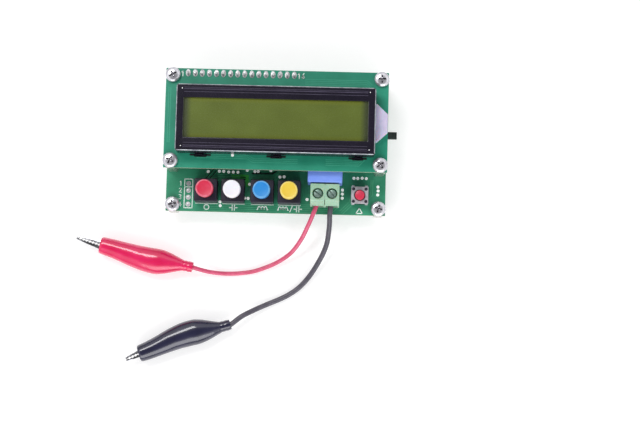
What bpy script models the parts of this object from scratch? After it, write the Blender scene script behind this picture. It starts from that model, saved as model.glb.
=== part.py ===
"""Bench meter for inductance and capacitance.

A display board stands on four posts over a main board, and the main board stands on four feet.
Two test leads leave the screw terminal and end in crocodile clips inside soft boots.
+X runs to the right along the display, +Y away from the push switches, +Z up; the feet stand on z = 0.
"""
import math

import bmesh
import bpy
from mathutils import Matrix, Vector

MM = 0.001
GAP = 0.3 * MM  # clearance between pieces that would touch

# Boards
BOARD_WIDTH = 80.0 * MM
BOARD_DEPTH = 50.3 * MM
BOARD_THICKNESS = 1.6 * MM
DISPLAY_DEPTH = 36.0 * MM
FOOT_HEIGHT = 6.0 * MM
POST_HEIGHT = 11.0 * MM
BOARD_TOP = FOOT_HEIGHT + BOARD_THICKNESS
DISPLAY_BOTTOM = BOARD_TOP + POST_HEIGHT
DISPLAY_TOP = DISPLAY_BOTTOM + BOARD_THICKNESS
DISPLAY_Y = (BOARD_DEPTH - DISPLAY_DEPTH) / 2  # both boards are flush at the rear edge
FRONT_HOLE_Y = -22.7 * MM
HOLE_X = 37.5 * MM
DISPLAY_HOLE_SPACING_Y = 31.0 * MM
REAR_HOLE_Y = DISPLAY_Y + DISPLAY_HOLE_SPACING_Y / 2
MIDDLE_HOLE_Y = DISPLAY_Y - DISPLAY_HOLE_SPACING_Y / 2

# M3 hardware
HOLE_RADIUS = 1.8 * MM
SCREW_RADIUS = 1.4 * MM
HEAD_RADIUS = 2.75 * MM
HEAD_HEIGHT = 1.9 * MM
HEX_RADIUS = 2.9 * MM  # across corners, 5 mm across flats
SHANK_LENGTH = 5.0 * MM

# Display module
BEZEL_SIZE = Vector((70.8, 24.0, 7.0)) * MM
BEZEL_Y = DISPLAY_Y - 0.75 * MM
BEZEL_WALL = 0.8 * MM
WINDOW_SIZE = Vector((65.3, 14.2)) * MM
BACKLIGHT_HEIGHT = 4.2 * MM
BACKLIGHT_EAR = 39.8 * MM  # how far right the lamp's ear reaches

# Header between the boards
PIN_PITCH = 2.54 * MM
PIN_COUNT = 16
FIRST_PIN_X = -32.1 * MM
PIN_ROW_Y = 16.27 * MM + DISPLAY_Y
PIN_HALF = 0.3 * MM
PIN_HOLE_RADIUS = 0.85 * MM

# Push switches, left to right: place along the board and the cap's finish
SWITCHES = {
    "zero": (-25.1 * MM, "cap_red"),
    "hi_c": (-15.3 * MM, "cap_white"),
    "hi_l": (-4.7 * MM, "cap_blue"),
    "l_c": (5.1 * MM, "cap_yellow"),
}
SWITCH_Y = -17.85 * MM
SWITCH_SIDE = 8.3 * MM
SWITCH_HEIGHT = 6.6 * MM
SWITCH_TRAVEL = 2.0 * MM
CAP_RADIUS = 3.15 * MM
CAP_HEIGHT = 3.4 * MM
PLUNGER_HALF = 1.5 * MM

# Function key
KEY_PLACE = Vector((30.6, -18.2)) * MM
KEY_SIDE = 6.0 * MM
KEY_HEIGHT = 3.4 * MM
KEY_BUTTON_RADIUS = 1.75 * MM
KEY_BUTTON_TOP = 5.0 * MM

# Screw terminal
TERMINAL_X = 18.02 * MM
TERMINAL_PITCH = 5.08 * MM
TERMINAL_HALF_WIDTH = 5.2 * MM
TERMINAL_FRONT_Y = -22.7 * MM
TERMINAL_REAR_Y = -15.05 * MM
TERMINAL_HEIGHT = 10.0 * MM
WELL_Y = -18.5 * MM
WELL_RADIUS = 1.92 * MM

# Parts that stand on the main board beside or under the display
RELAY_SIZE = Vector((12.6, 7.6, 10.0)) * MM
LEVER_OVERHANG = 3.6 * MM
LEVER_Y = 4.0 * MM
LEVER_HALF_WIDTH = 1.3 * MM
LEVER_TRAVEL = 2.0 * MM
INLET_SIZE = Vector((9.2, 7.7, 3.9)) * MM
INLET_Y = 13.6 * MM

# Clips: the pivot is the origin of each clip, its jaws point along +X
JAW_LENGTH = 13.0 * MM
HANDLE_LENGTH = 11.0 * MM
SHEET = 0.4 * MM  # thickness of the pressed jaws
RIVET_RADIUS = 0.5 * MM
BOOT_LENGTH = 34.8 * MM
BOOT_WALL = 0.55 * MM
BOOT_AXIS_HEIGHT = 3.7 * MM
LEAD_RADIUS = {"red": 0.8 * MM, "black": 0.95 * MM}

# Boot outline: distance behind the mouth, half width, half height
BOOT_SECTIONS = [
    (0.0, 3.1, 2.9),
    (6.0, 3.55, 3.1),
    (12.0, 4.1, 3.35),
    (18.0, 4.6, 3.6),
    (22.0, 4.7, 3.7),
    (25.0, 4.1, 3.3),
    (28.0, 3.1, 2.7),
    (31.0, 2.1, 2.0),
    (34.8, 2.0, 1.9),
]

# Each clip: where the boot's mouth is, which way it points, how the jaws are skewed in it,
# how deep the pivot sits, and how far the boot bulges to one side over the handles
CLIPS = {
    "red": {"mouth": (-65.5, -38.1), "turn": 167.8, "skew": -5.0, "depth": 3.8, "bulge": 1.1},
    "black": {"mouth": (-49.9, -77.3), "turn": 199.3, "skew": 6.0, "depth": 7.8, "bulge": -1.5},
}

# Lead routes in millimetres, from inside the terminal to the boot
LEAD_ROUTES = {
    "red": [
        (13.4, -21.3, 11.1), (13.0, -23.0, 10.9), (12.0, -25.6, 10.2), (11.0, -28.0, 9.2),
        (9.9, -30.4, 8.1), (8.7, -33.0, 6.8), (7.2, -35.5, 5.5), (5.6, -37.7, 4.3),
        (3.8, -39.6, 3.2), (0.6, -41.9, 2.1), (-3.2, -43.9, 1.4), (-8.8, -46.0, 1.0),
        (-13.0, -46.8, 0.9), (-17.2, -47.2, 0.9), (-21.5, -47.2, 1.2), (-25.6, -46.8, 2.1),
        (-28.6, -46.2, 3.1), (-31.2, -45.5, 3.7),
    ],
    "black": [
        (18.6, -21.3, 11.1), (18.3, -23.2, 10.8), (18.1, -26.0, 9.9), (18.1, -28.8, 8.6),
        (17.8, -32.2, 7.0), (17.3, -35.6, 5.6), (16.0, -39.2, 4.3), (14.3, -42.5, 3.2),
        (12.2, -46.0, 2.2), (9.6, -49.5, 1.5), (7.0, -52.1, 1.1), (4.1, -54.2, 1.0),
        (0.8, -56.0, 1.0), (-2.8, -57.6, 1.1), (-6.3, -59.2, 1.7), (-9.7, -60.9, 2.5),
        (-13.2, -62.9, 3.4), (-16.7, -65.7, 3.7),
    ],
}

# Each finish: linear colour, roughness, metallic
FINISHES = {
    "main_solder_mask": ((0.02, 0.15, 0.07), 0.4, 0.0),
    "display_solder_mask": ((0.02, 0.26, 0.16), 0.4, 0.0),
    "header_plastic": ((0.02, 0.02, 0.022), 0.45, 0.0),
    "plated_brass": ((0.62, 0.6, 0.56), 0.3, 1.0),
    "plated_steel": ((0.75, 0.75, 0.77), 0.22, 1.0),
    "black_bezel": ((0.02, 0.018, 0.028), 0.35, 0.0),
    "lcd_green": ((0.13, 0.17, 0.035), 0.15, 0.0),
    "lamp_white": ((0.72, 0.7, 0.82), 0.35, 0.0),
    "switch_black": ((0.015, 0.014, 0.02), 0.45, 0.0),
    "plunger_white": ((0.8, 0.8, 0.78), 0.5, 0.0),
    "cap_red": ((0.75, 0.05, 0.11), 0.35, 0.0),
    "cap_white": ((0.85, 0.85, 0.88), 0.35, 0.0),
    "cap_blue": ((0.02, 0.27, 0.66), 0.35, 0.0),
    "cap_yellow": ((0.88, 0.6, 0.04), 0.35, 0.0),
    "tinned_steel": ((0.7, 0.7, 0.72), 0.35, 1.0),
    "terminal_green": ((0.3, 0.52, 0.36), 0.5, 0.0),
    "terminal_screw_steel": ((0.5, 0.58, 0.55), 0.3, 1.0),
    "relay_blue": ((0.16, 0.26, 0.72), 0.4, 0.0),
    "lever_dark": ((0.03, 0.045, 0.042), 0.5, 0.0),
    "chip_black": ((0.02, 0.02, 0.02), 0.6, 0.0),
    "clip_steel": ((0.72, 0.72, 0.74), 0.25, 1.0),
    "red_pvc": ((0.8, 0.03, 0.13), 0.3, 0.0),
    "black_pvc": ((0.03, 0.03, 0.06), 0.3, 0.0),
}


def material(name):
    """The finish of this name, as a Principled material of one plain colour."""
    found = bpy.data.materials.get(name)
    if found:
        return found
    colour, roughness, metallic = FINISHES[name]
    made = bpy.data.materials.new(name)
    made.use_nodes = True
    shader = made.node_tree.nodes["Principled BSDF"]
    shader.inputs["Base Color"].default_value = (*colour, 1.0)
    shader.inputs["Roughness"].default_value = roughness
    shader.inputs["Metallic"].default_value = metallic
    made.diffuse_color = (*colour, 1.0)
    return made


def make_object(name, bm, finish, parent=None, place=(0, 0, 0), turn=0.0, smooth=False):
    """Turns a bmesh into a named object, its faces pointing out."""
    bmesh.ops.recalc_face_normals(bm, faces=bm.faces)
    mesh = bpy.data.meshes.new(name)
    bm.to_mesh(mesh)
    bm.free()
    if smooth:
        mesh.shade_smooth()
        mesh.set_sharp_from_angle(angle=math.radians(35))
    mesh.materials.append(finish)
    made = bpy.data.objects.new(name, mesh)
    made.location = place
    made.rotation_euler = (0.0, 0.0, turn)
    made.parent = parent
    bpy.context.scene.collection.objects.link(made)
    return made


def add_box(bm, low, high):
    """A box between two corners."""
    low, high = Vector(low), Vector(high)
    place = Matrix.Translation((low + high) / 2) @ Matrix.Diagonal((*(high - low), 1.0))
    bmesh.ops.create_cube(bm, size=1.0, matrix=place)


def add_prism(bm, outline, low, high, axis="Z"):
    """A straight prism on a closed outline; its length runs along Z, X or Y."""
    order = {"Z": (0, 1, 2), "X": (2, 0, 1), "Y": (0, 2, 1)}[axis]
    corners = [(a, b, low) for a, b in outline]
    verts = [bm.verts.new([corner[i] for i in order]) for corner in corners]
    face = bm.faces.new(verts)
    out = bmesh.ops.extrude_face_region(bm, geom=[face])
    shift = Vector([(0.0, 0.0, high - low)[i] for i in order])
    moved = [item for item in out["geom"] if isinstance(item, bmesh.types.BMVert)]
    bmesh.ops.translate(bm, verts=moved, vec=shift)


def circle(radius, segments, centre=(0.0, 0.0), start=0.0):
    """Points on a circle."""
    return [
        (
            centre[0] + radius * math.cos(start + 2 * math.pi * i / segments),
            centre[1] + radius * math.sin(start + 2 * math.pi * i / segments),
        )
        for i in range(segments)
    ]


def add_loft(bm, rings):
    """A closed solid through a row of rings with equal point counts, capped at both ends."""
    rows = [[bm.verts.new(point) for point in ring] for ring in rings]
    for row, after in zip(rows, rows[1:]):
        for i in range(len(row)):
            j = (i + 1) % len(row)
            bm.faces.new((row[i], row[j], after[j], after[i]))
    bm.faces.new(rows[0])
    bm.faces.new(rows[-1])


def add_turned(bm, profile, segments, centre=(0.0, 0.0)):
    """A turned solid about Z from a profile of (radius, height) pairs, its ends closed flat."""
    rings = [[(x, y, z) for x, y in circle(radius, segments, centre)] for radius, z in profile]
    add_loft(bm, rings)


def add_sleeve(bm, outer, inner, low, high):
    """A ring or tube between two outlines with equal point counts."""
    loops = [(outer, low), (outer, high), (inner, high), (inner, low)]
    rows = [[bm.verts.new((x, y, z)) for x, y in outline] for outline, z in loops]
    rows.append(rows[0])
    for row, after in zip(rows, rows[1:]):
        for i in range(len(row)):
            j = (i + 1) % len(row)
            bm.faces.new((row[i], row[j], after[j], after[i]))


def boolean(target, operand_bm, operation, name):
    """Cuts from, or joins to, an object the solid held in a bmesh."""
    tool = make_object(name, operand_bm, target.data.materials[0], target.parent)
    tool.location = target.location
    tool.rotation_euler = target.rotation_euler
    tool.hide_render = True
    tool.display_type = "WIRE"
    step = target.modifiers.new(name, "BOOLEAN")
    step.operation = operation
    step.object = tool


def header_pin_xs():
    """X of each pin in the row between the boards."""
    return [FIRST_PIN_X + PIN_PITCH * i for i in range(PIN_COUNT)]


def add_bores(bm, places, radius, segments, low, high):
    """Upright cutting cylinders at each place."""
    for place in places:
        add_prism(bm, circle(radius, segments, place), low, high)


def display_holes():
    """The display module's four fixing holes."""
    return [(x, y) for y in (MIDDLE_HOLE_Y, REAR_HOLE_Y) for x in (-HOLE_X, HOLE_X)]


def main_board(frame):
    """The lower board, drilled for its fixings, the pin row and a four-way pad row."""
    bm = bmesh.new()
    half = Vector((BOARD_WIDTH / 2, BOARD_DEPTH / 2))
    add_box(bm, (-half.x, -half.y, FOOT_HEIGHT), (half.x, half.y, BOARD_TOP))
    board = make_object("main_pcb", bm, material("main_solder_mask"), frame)
    holes = bmesh.new()
    low, high = FOOT_HEIGHT - MM, BOARD_TOP + MM
    front = [(x, FRONT_HOLE_Y) for x in (-HOLE_X, HOLE_X)]
    add_bores(holes, display_holes() + front, HOLE_RADIUS, 16, low, high)
    add_bores(holes, [(x, PIN_ROW_Y) for x in header_pin_xs()], PIN_HOLE_RADIUS, 8, low, high)
    pads = [(-31.85 * MM, -15.0 * MM - PIN_PITCH * i) for i in range(4)]
    add_bores(holes, pads, 0.5 * MM, 8, low, high)
    boolean(board, holes, "DIFFERENCE", "main_pcb_drill")


def display_board(frame):
    """The display module's own board."""
    bm = bmesh.new()
    low_y, high_y = DISPLAY_Y - DISPLAY_DEPTH / 2, DISPLAY_Y + DISPLAY_DEPTH / 2
    add_box(bm, (-BOARD_WIDTH / 2, low_y, DISPLAY_BOTTOM), (BOARD_WIDTH / 2, high_y, DISPLAY_TOP))
    finish = material("display_solder_mask")
    board = make_object("lcd_pcb", bm, finish, frame)
    holes = bmesh.new()
    low, high = DISPLAY_BOTTOM - MM, DISPLAY_TOP + MM
    add_bores(holes, display_holes(), HOLE_RADIUS, 16, low, high)
    add_bores(holes, [(x, PIN_ROW_Y) for x in header_pin_xs()], PIN_HOLE_RADIUS, 8, low, high)
    boolean(board, holes, "DIFFERENCE", "lcd_pcb_drill")


def pin_row(frame):
    """The display's pin strip and the socket strip under it, each with its soldered tails."""
    ends = (FIRST_PIN_X - PIN_PITCH / 2, FIRST_PIN_X + PIN_PITCH * (PIN_COUNT - 0.5))
    half = PIN_PITCH / 2
    finish = material("header_plastic")
    rows = {
        "lcd_header": (DISPLAY_BOTTOM - 2.5 * MM, DISPLAY_BOTTOM - GAP, DISPLAY_TOP + 0.9 * MM),
        "header_socket": (BOARD_TOP + GAP, DISPLAY_BOTTOM - 2.8 * MM, FOOT_HEIGHT - 1.2 * MM),
    }
    for name, (low, high, tail_end) in rows.items():
        bm = bmesh.new()
        add_box(bm, (ends[0], PIN_ROW_Y - half, low), (ends[1], PIN_ROW_Y + half, high))
        strip = make_object(name, bm, finish, frame)
        tails = bmesh.new()
        tail_low, tail_high = sorted((tail_end, (low + high) / 2))
        for x in header_pin_xs():
            add_box(
                tails,
                (x - PIN_HALF, PIN_ROW_Y - PIN_HALF, tail_low),
                (x + PIN_HALF, PIN_ROW_Y + PIN_HALF, tail_high),
            )
        boolean(strip, tails, "UNION", name + "_tails")


def post(name, place, low, high, frame, stud=0.0):
    """A hexagonal post with a threaded bore, or a foot with a stud that passes up through the board."""
    bm = bmesh.new()
    finish = material("plated_brass")
    segments = 12
    outer = []
    for i in range(6):
        corner = Vector(circle(HEX_RADIUS, 6)[i])
        following = Vector(circle(HEX_RADIUS, 6)[(i + 1) % 6])
        outer += [tuple(corner), tuple((corner + following) / 2)]
    if stud:
        rings = [[(x, y, z) for x, y in outer] for z in (low, high)]
        rings += [
            [(x, y, z) for x, y in circle(SCREW_RADIUS, segments)] for z in (high, high + stud)
        ]
        add_loft(bm, rings)
    else:
        add_sleeve(bm, outer, circle(HOLE_RADIUS, segments), low, high)
    make_object(name, bm, finish, frame, (*place, 0.0), smooth=True)


def screw(name, place, face, frame, up=1):
    """A pan-head screw: its domed head sits on a face and its shank runs the other way."""
    profile = [
        (SCREW_RADIUS, -SHANK_LENGTH),
        (SCREW_RADIUS, GAP),
        (HEAD_RADIUS, GAP),
        (HEAD_RADIUS, 0.45 * HEAD_HEIGHT),
        (0.8 * HEAD_RADIUS, 0.85 * HEAD_HEIGHT),
        (0.4 * HEAD_RADIUS, HEAD_HEIGHT),
    ]
    bm = bmesh.new()
    add_turned(bm, [(radius, up * z) for radius, z in profile], 20)
    finish = material("plated_steel")
    make_object(name, bm, finish, frame, (*place, face), smooth=True)


def stacking_hardware(frame):
    """Feet, posts between the boards, and the screws that hold them."""
    corners = {"rear": REAR_HOLE_Y, "middle": MIDDLE_HOLE_Y, "front": FRONT_HOLE_Y}
    for side, x in (("left", -HOLE_X), ("right", HOLE_X)):
        for row in ("rear", "middle"):
            place = (x, corners[row])
            low, high = BOARD_TOP + GAP, DISPLAY_BOTTOM - GAP
            post(f"lcd_post_{row}_{side}", place, low, high, frame)
            screw(f"lcd_screw_{row}_{side}", place, DISPLAY_TOP, frame)
        for row, stud in (("rear", 5.0 * MM), ("front", 0.0)):
            place = (x, corners[row])
            post(f"foot_{row}_{side}", place, 0.0, FOOT_HEIGHT - GAP, frame, stud)
        screw(f"board_screw_front_{side}", (x, FRONT_HOLE_Y), BOARD_TOP, frame)
        screw(f"post_screw_middle_{side}", (x, MIDDLE_HOLE_Y), FOOT_HEIGHT, frame, up=-1)


def bezel(frame):
    """The pressed black frame over the glass, open underneath, with a notch for the lamp's ear."""
    bm = bmesh.new()
    half_x, half_y = BEZEL_SIZE.x / 2, BEZEL_SIZE.y / 2
    low, high = GAP, BEZEL_SIZE.z
    outer = [(-half_x, -half_y), (half_x, -half_y), (half_x, half_y), (-half_x, half_y)]
    under = [(x - math.copysign(BEZEL_WALL, x), y - math.copysign(BEZEL_WALL, y)) for x, y in outer]
    pane = [
        (math.copysign(WINDOW_SIZE.x / 2, x), math.copysign(WINDOW_SIZE.y / 2, y)) for x, y in outer
    ]
    ceiling = high - BEZEL_WALL
    rows = [(outer, low), (outer, high), (pane, high), (pane, ceiling), (under, ceiling), (under, low)]
    loops = [[bm.verts.new((x, y, z)) for x, y in outline] for outline, z in rows]
    loops.append(loops[0])
    for row, after in zip(loops, loops[1:]):
        for i in range(4):
            j = (i + 1) % 4
            bm.faces.new((row[i], row[j], after[j], after[i]))
    finish = material("black_bezel")
    shell = make_object("lcd_bezel", bm, finish, frame, (0.0, BEZEL_Y, DISPLAY_TOP))
    notch = bmesh.new()
    add_box(notch, (half_x - 2 * BEZEL_WALL, -7.6 * MM, -MM), (half_x + MM, 7.6 * MM, 3.6 * MM))
    boolean(shell, notch, "DIFFERENCE", "lcd_bezel_notch")


def display_glass(frame):
    """The liquid crystal glass, just under the bezel's window."""
    bm = bmesh.new()
    top = DISPLAY_TOP + BEZEL_SIZE.z - BEZEL_WALL - GAP
    half_x, half_y = 34.2 * MM, 9.0 * MM
    add_box(
        bm, (-half_x, BEZEL_Y - half_y, top - 1.4 * MM), (half_x, BEZEL_Y + half_y, top)
    )
    make_object("lcd_glass", bm, material("lcd_green"), frame)


def backlight(frame):
    """The light guide under the glass, with its lamp's ear standing out to the right."""
    bm = bmesh.new()
    low = DISPLAY_TOP + GAP
    half_x, half_y = 34.0 * MM, 10.6 * MM
    add_box(bm, (-half_x, BEZEL_Y - half_y, low), (half_x, BEZEL_Y + half_y, low + BACKLIGHT_HEIGHT))
    finish = material("lamp_white")
    guide = make_object("lcd_backlight", bm, finish, frame)
    ear = bmesh.new()
    outline = [
        (32.0 * MM, -6.9 * MM),
        (35.9 * MM, -6.9 * MM),
        (BACKLIGHT_EAR, -3.25 * MM),
        (BACKLIGHT_EAR, 3.25 * MM),
        (35.9 * MM, 6.9 * MM),
        (32.0 * MM, 6.9 * MM),
    ]
    add_prism(ear, [(x, y + BEZEL_Y) for x, y in outline], low, low + 2.8 * MM)
    boolean(guide, ear, "UNION", "lcd_backlight_ear")


def push_switch(name, x, finish, frame):
    """A latching push switch: its square case, the plunger in it, and the round cap on the plunger."""
    half = SWITCH_SIDE / 2
    case_bm = bmesh.new()
    low, high = BOARD_TOP + GAP, BOARD_TOP + SWITCH_HEIGHT
    well, floor = 1.9 * MM, BOARD_TOP + 1.5 * MM
    square = [(-half, -half), (half, -half), (half, half), (-half, half)]
    mouth = [(math.copysign(well, a), math.copysign(well, b)) for a, b in square]
    rows = [(square, low), (square, high), (mouth, high), (mouth, floor)]
    add_loft(case_bm, [[(a, b, z) for a, b in outline] for outline, z in rows])
    black = material("switch_black")
    make_object(f"switch_case_{name}", case_bm, black, frame, (x, SWITCH_Y, 0.0))

    mover = bpy.data.objects.new(f"switch_{name}_axis", None)
    mover.parent = frame
    mover.location = (x, SWITCH_Y, high)
    bpy.context.scene.collection.objects.link(mover)
    cap_low = SWITCH_TRAVEL + GAP
    plunger_bm = bmesh.new()
    stem = PLUNGER_HALF
    add_box(plunger_bm, (-stem, -stem, -2.6 * MM), (stem, stem, cap_low + 2.0 * MM))
    white = material("plunger_white")
    make_object(f"switch_plunger_{name}", plunger_bm, white, mover)

    cap_bm = bmesh.new()
    rim = 0.35 * MM
    cap_top = cap_low + CAP_HEIGHT
    add_turned(
        cap_bm,
        [
            (CAP_RADIUS, cap_low),
            (CAP_RADIUS, cap_top - rim),
            (CAP_RADIUS - rim, cap_top),
            (0.5 * MM, cap_top),
        ],
        24,
    )
    cap = make_object(f"switch_cap_{name}", cap_bm, finish, mover, smooth=True)
    socket = bmesh.new()
    reach = PLUNGER_HALF + GAP
    add_box(socket, (-reach, -reach, cap_low - MM), (reach, reach, cap_low + 2.0 * MM + GAP))
    boolean(cap, socket, "DIFFERENCE", f"switch_cap_{name}_socket")


def push_switches(frame):
    """The row of four push switches with their coloured caps."""
    for name, (x, colour) in SWITCHES.items():
        push_switch(name, x, material(colour), frame)


def function_key(frame):
    """The small tactile key: base, steel cover with bent legs, and the red button."""
    base_bm = bmesh.new()
    half = KEY_SIDE / 2
    low, high = BOARD_TOP + GAP, BOARD_TOP + KEY_HEIGHT - GAP
    outer = circle(half * math.sqrt(2), 4, start=math.pi / 4)
    add_loft(
        base_bm,
        [[(x, y, z) for x, y in outer] for z in (low, high)]
        + [[(x * 0.62, y * 0.62, z) for x, y in outer] for z in (high, high - 1.2 * MM)],
    )
    place = (*KEY_PLACE, 0.0)
    make_object("func_case", base_bm, material("switch_black"), frame, place)

    plate_bm = bmesh.new()
    opening = circle(KEY_BUTTON_RADIUS + GAP, 20, start=math.pi / 4)
    reach = half + 0.1 * MM
    rim = []
    for x, y in opening:
        grow = reach / max(abs(x), abs(y))
        rim.append((x * grow, y * grow))
    plate_low = BOARD_TOP + KEY_HEIGHT
    add_sleeve(plate_bm, rim, opening, plate_low, plate_low + 0.3 * MM)
    steel = material("tinned_steel")
    plate = make_object("func_plate", plate_bm, steel, frame, place)
    legs = bmesh.new()
    for side_y in (-1, 1):
        near, far = sorted((side_y * (reach - 0.2 * MM), side_y * (reach + 0.45 * MM)))
        for side_x in (-1, 1):
            a, b = sorted((side_x * 1.9 * MM, side_x * 2.9 * MM))
            add_box(legs, (a, near, plate_low - 0.15 * MM), (b, far, plate_low + 0.25 * MM))
    boolean(plate, legs, "UNION", "func_plate_legs")

    button_bm = bmesh.new()
    top = BOARD_TOP + KEY_BUTTON_TOP
    seat = high - 1.2 * MM + GAP + 0.25 * MM
    radius = KEY_BUTTON_RADIUS
    add_turned(
        button_bm,
        [(radius, seat), (radius, top - 0.2 * MM), (radius - 0.2 * MM, top)],
        20,
    )
    make_object("func_button", button_bm, material("cap_red"), frame, place, smooth=True)


def terminal_ways():
    """X of each way of the screw terminal, with its name."""
    half = TERMINAL_PITCH / 2
    return (("red", TERMINAL_X - half), ("black", TERMINAL_X + half))


def terminal_block(frame):
    """The two-way housing: a screw well, a cage chamber and a wire entry for each way."""
    low, top = BOARD_TOP + GAP, BOARD_TOP + TERMINAL_HEIGHT
    side = [
        (TERMINAL_REAR_Y, low),
        (TERMINAL_FRONT_Y, low),
        (TERMINAL_FRONT_Y, BOARD_TOP + 6.6 * MM),
        (TERMINAL_FRONT_Y + 1.6 * MM, top),
        (TERMINAL_REAR_Y, top),
    ]
    bm = bmesh.new()
    add_prism(bm, side, TERMINAL_X - TERMINAL_HALF_WIDTH, TERMINAL_X + TERMINAL_HALF_WIDTH, "X")
    finish = material("terminal_green")
    housing = make_object("terminal_housing", bm, finish, frame)
    cuts = {"well": bmesh.new(), "bore": bmesh.new(), "chamber": bmesh.new()}
    for _, x in terminal_ways():
        add_bores(cuts["well"], [(x, WELL_Y)], WELL_RADIUS, 20, BOARD_TOP + 6.9 * MM, top + MM)
        add_bores(cuts["bore"], [(x, WELL_Y)], 1.5 * MM, 16, BOARD_TOP + 5 * MM, BOARD_TOP + 8 * MM)
        add_box(
            cuts["chamber"],
            (x - 2.1 * MM, TERMINAL_FRONT_Y - MM, BOARD_TOP + 0.9 * MM),
            (x + 2.1 * MM, WELL_Y + 2.2 * MM, BOARD_TOP + 6.1 * MM),
        )
    for name, tool in cuts.items():
        boolean(housing, tool, "DIFFERENCE", f"terminal_{name}")


def terminal_clamps(frame):
    """The slotted screw and the rising cage of each way."""
    steel = material("terminal_screw_steel")
    seat = BOARD_TOP + 6.9 * MM + GAP
    for name, x in terminal_ways():
        bm = bmesh.new()
        foot = BOARD_TOP + 3.9 * MM - seat
        profile = [(1.1 * MM, foot), (1.1 * MM, 0.0), (1.6 * MM, 0.0), (1.6 * MM, 1.6 * MM)]
        add_turned(bm, profile, 20)
        head = make_object(f"terminal_screw_{name}", bm, steel, frame, (x, WELL_Y, seat), smooth=True)
        slot = bmesh.new()
        add_box(slot, (-2 * MM, -0.25 * MM, 1.0 * MM), (2 * MM, 0.25 * MM, 2 * MM))
        boolean(head, slot, "DIFFERENCE", f"terminal_screw_{name}_slot")

        cage_bm = bmesh.new()
        half, wall = 1.8 * MM, 0.5 * MM
        outer = [(-half, 0), (half, 0), (half, 3.6 * MM), (-half, 3.6 * MM)]
        window = [(a - math.copysign(wall, a), wall if b == 0 else b - wall) for a, b in outer]
        add_sleeve(cage_bm, outer, window, -1.9 * MM, 1.9 * MM)
        bmesh.ops.rotate(cage_bm, verts=cage_bm.verts, matrix=Matrix.Rotation(math.pi / 2, 3, "X"))
        place = (x, WELL_Y, BOARD_TOP + 2.2 * MM)
        cage = make_object(f"terminal_cage_{name}", cage_bm, steel, frame, place)
        thread = bmesh.new()
        add_bores(thread, [(0.0, 0.0)], 1.4 * MM, 12, 2.5 * MM, 4.5 * MM)
        boolean(cage, thread, "DIFFERENCE", f"terminal_cage_{name}_thread")


def relay(frame):
    """The sealed range relay behind the terminal, tucked under the display board's edge."""
    front = TERMINAL_REAR_Y + 0.4 * MM
    low, high = BOARD_TOP + GAP, BOARD_TOP + RELAY_SIZE.z
    chamfer = 0.5 * MM
    side = [
        (front, low),
        (front, high - chamfer),
        (front + chamfer, high),
        (front + RELAY_SIZE.y - chamfer, high),
        (front + RELAY_SIZE.y, high - chamfer),
        (front + RELAY_SIZE.y, low),
    ]
    bm = bmesh.new()
    middle = TERMINAL_X - 0.1 * MM
    add_prism(bm, side, middle - RELAY_SIZE.x / 2, middle + RELAY_SIZE.x / 2, "X")
    make_object("relay", bm, material("relay_blue"), frame)


def power_switch(frame):
    """The slide switch at the right edge: a shell open to the right, and its lever."""
    edge = BOARD_WIDTH / 2
    low, high = BOARD_TOP + GAP, BOARD_TOP + 3.9 * MM
    middle = LEVER_Y + LEVER_TRAVEL / 2
    bm = bmesh.new()
    add_box(bm, (edge - 4.8 * MM, middle - 4.3 * MM, low), (edge - GAP, middle + 4.3 * MM, high))
    steel = material("tinned_steel")
    case = make_object("power_switch_case", bm, steel, frame)
    hollow = bmesh.new()
    slot = LEVER_HALF_WIDTH + LEVER_TRAVEL / 2 + GAP
    add_box(
        hollow,
        (edge - 3.6 * MM, middle - slot, BOARD_TOP + 1.0 * MM),
        (edge + MM, middle + slot, BOARD_TOP + 3.2 * MM),
    )
    boolean(case, hollow, "DIFFERENCE", "power_switch_hollow")

    lever_bm = bmesh.new()
    reach = (edge - 3.3 * MM, edge + LEVER_OVERHANG)
    outline = [
        (reach[0], -LEVER_HALF_WIDTH),
        (reach[1] - 0.3 * MM, -LEVER_HALF_WIDTH),
        (reach[1], -LEVER_HALF_WIDTH + 0.3 * MM),
        (reach[1], LEVER_HALF_WIDTH - 0.3 * MM),
        (reach[1] - 0.3 * MM, LEVER_HALF_WIDTH),
        (reach[0], LEVER_HALF_WIDTH),
    ]
    add_prism(lever_bm, outline, 1.3 * MM, 2.9 * MM)
    dark = material("lever_dark")
    make_object("power_switch_lever", lever_bm, dark, frame, (0.0, LEVER_Y, BOARD_TOP))


def power_inlet(frame):
    """The small USB power inlet at the right edge: a steel shell with a tongue inside."""
    bm = bmesh.new()
    edge = BOARD_WIDTH / 2
    length, width, height = INLET_SIZE
    low = BOARD_TOP + GAP
    waist = 0.7 * MM
    half = width / 2
    outline = [
        (-half + waist, low),
        (half - waist, low),
        (half, low + 1.4 * MM),
        (half, low + height),
        (-half, low + height),
        (-half, low + 1.4 * MM),
    ]
    wall = 0.4 * MM
    centre_z = low + height / 2
    back = edge - length
    mouth = [(y * (1 - wall / half), centre_z + (z - centre_z) * (1 - 2 * wall / height)) for y, z in outline]
    rows = [(outline, back), (outline, edge), (mouth, edge), (mouth, back + 1.2 * MM)]
    add_loft(bm, [[(x, y + INLET_Y, z) for y, z in ring] for ring, x in rows])
    steel = material("tinned_steel")
    shell = make_object("power_inlet", bm, steel, frame)
    tongue = bmesh.new()
    add_box(
        tongue,
        (back + 0.8 * MM, INLET_Y - 2.2 * MM, centre_z - 0.3 * MM),
        (edge - 1.6 * MM, INLET_Y + 2.2 * MM, centre_z + 0.5 * MM),
    )
    boolean(shell, tongue, "UNION", "power_inlet_tongue")


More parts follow.
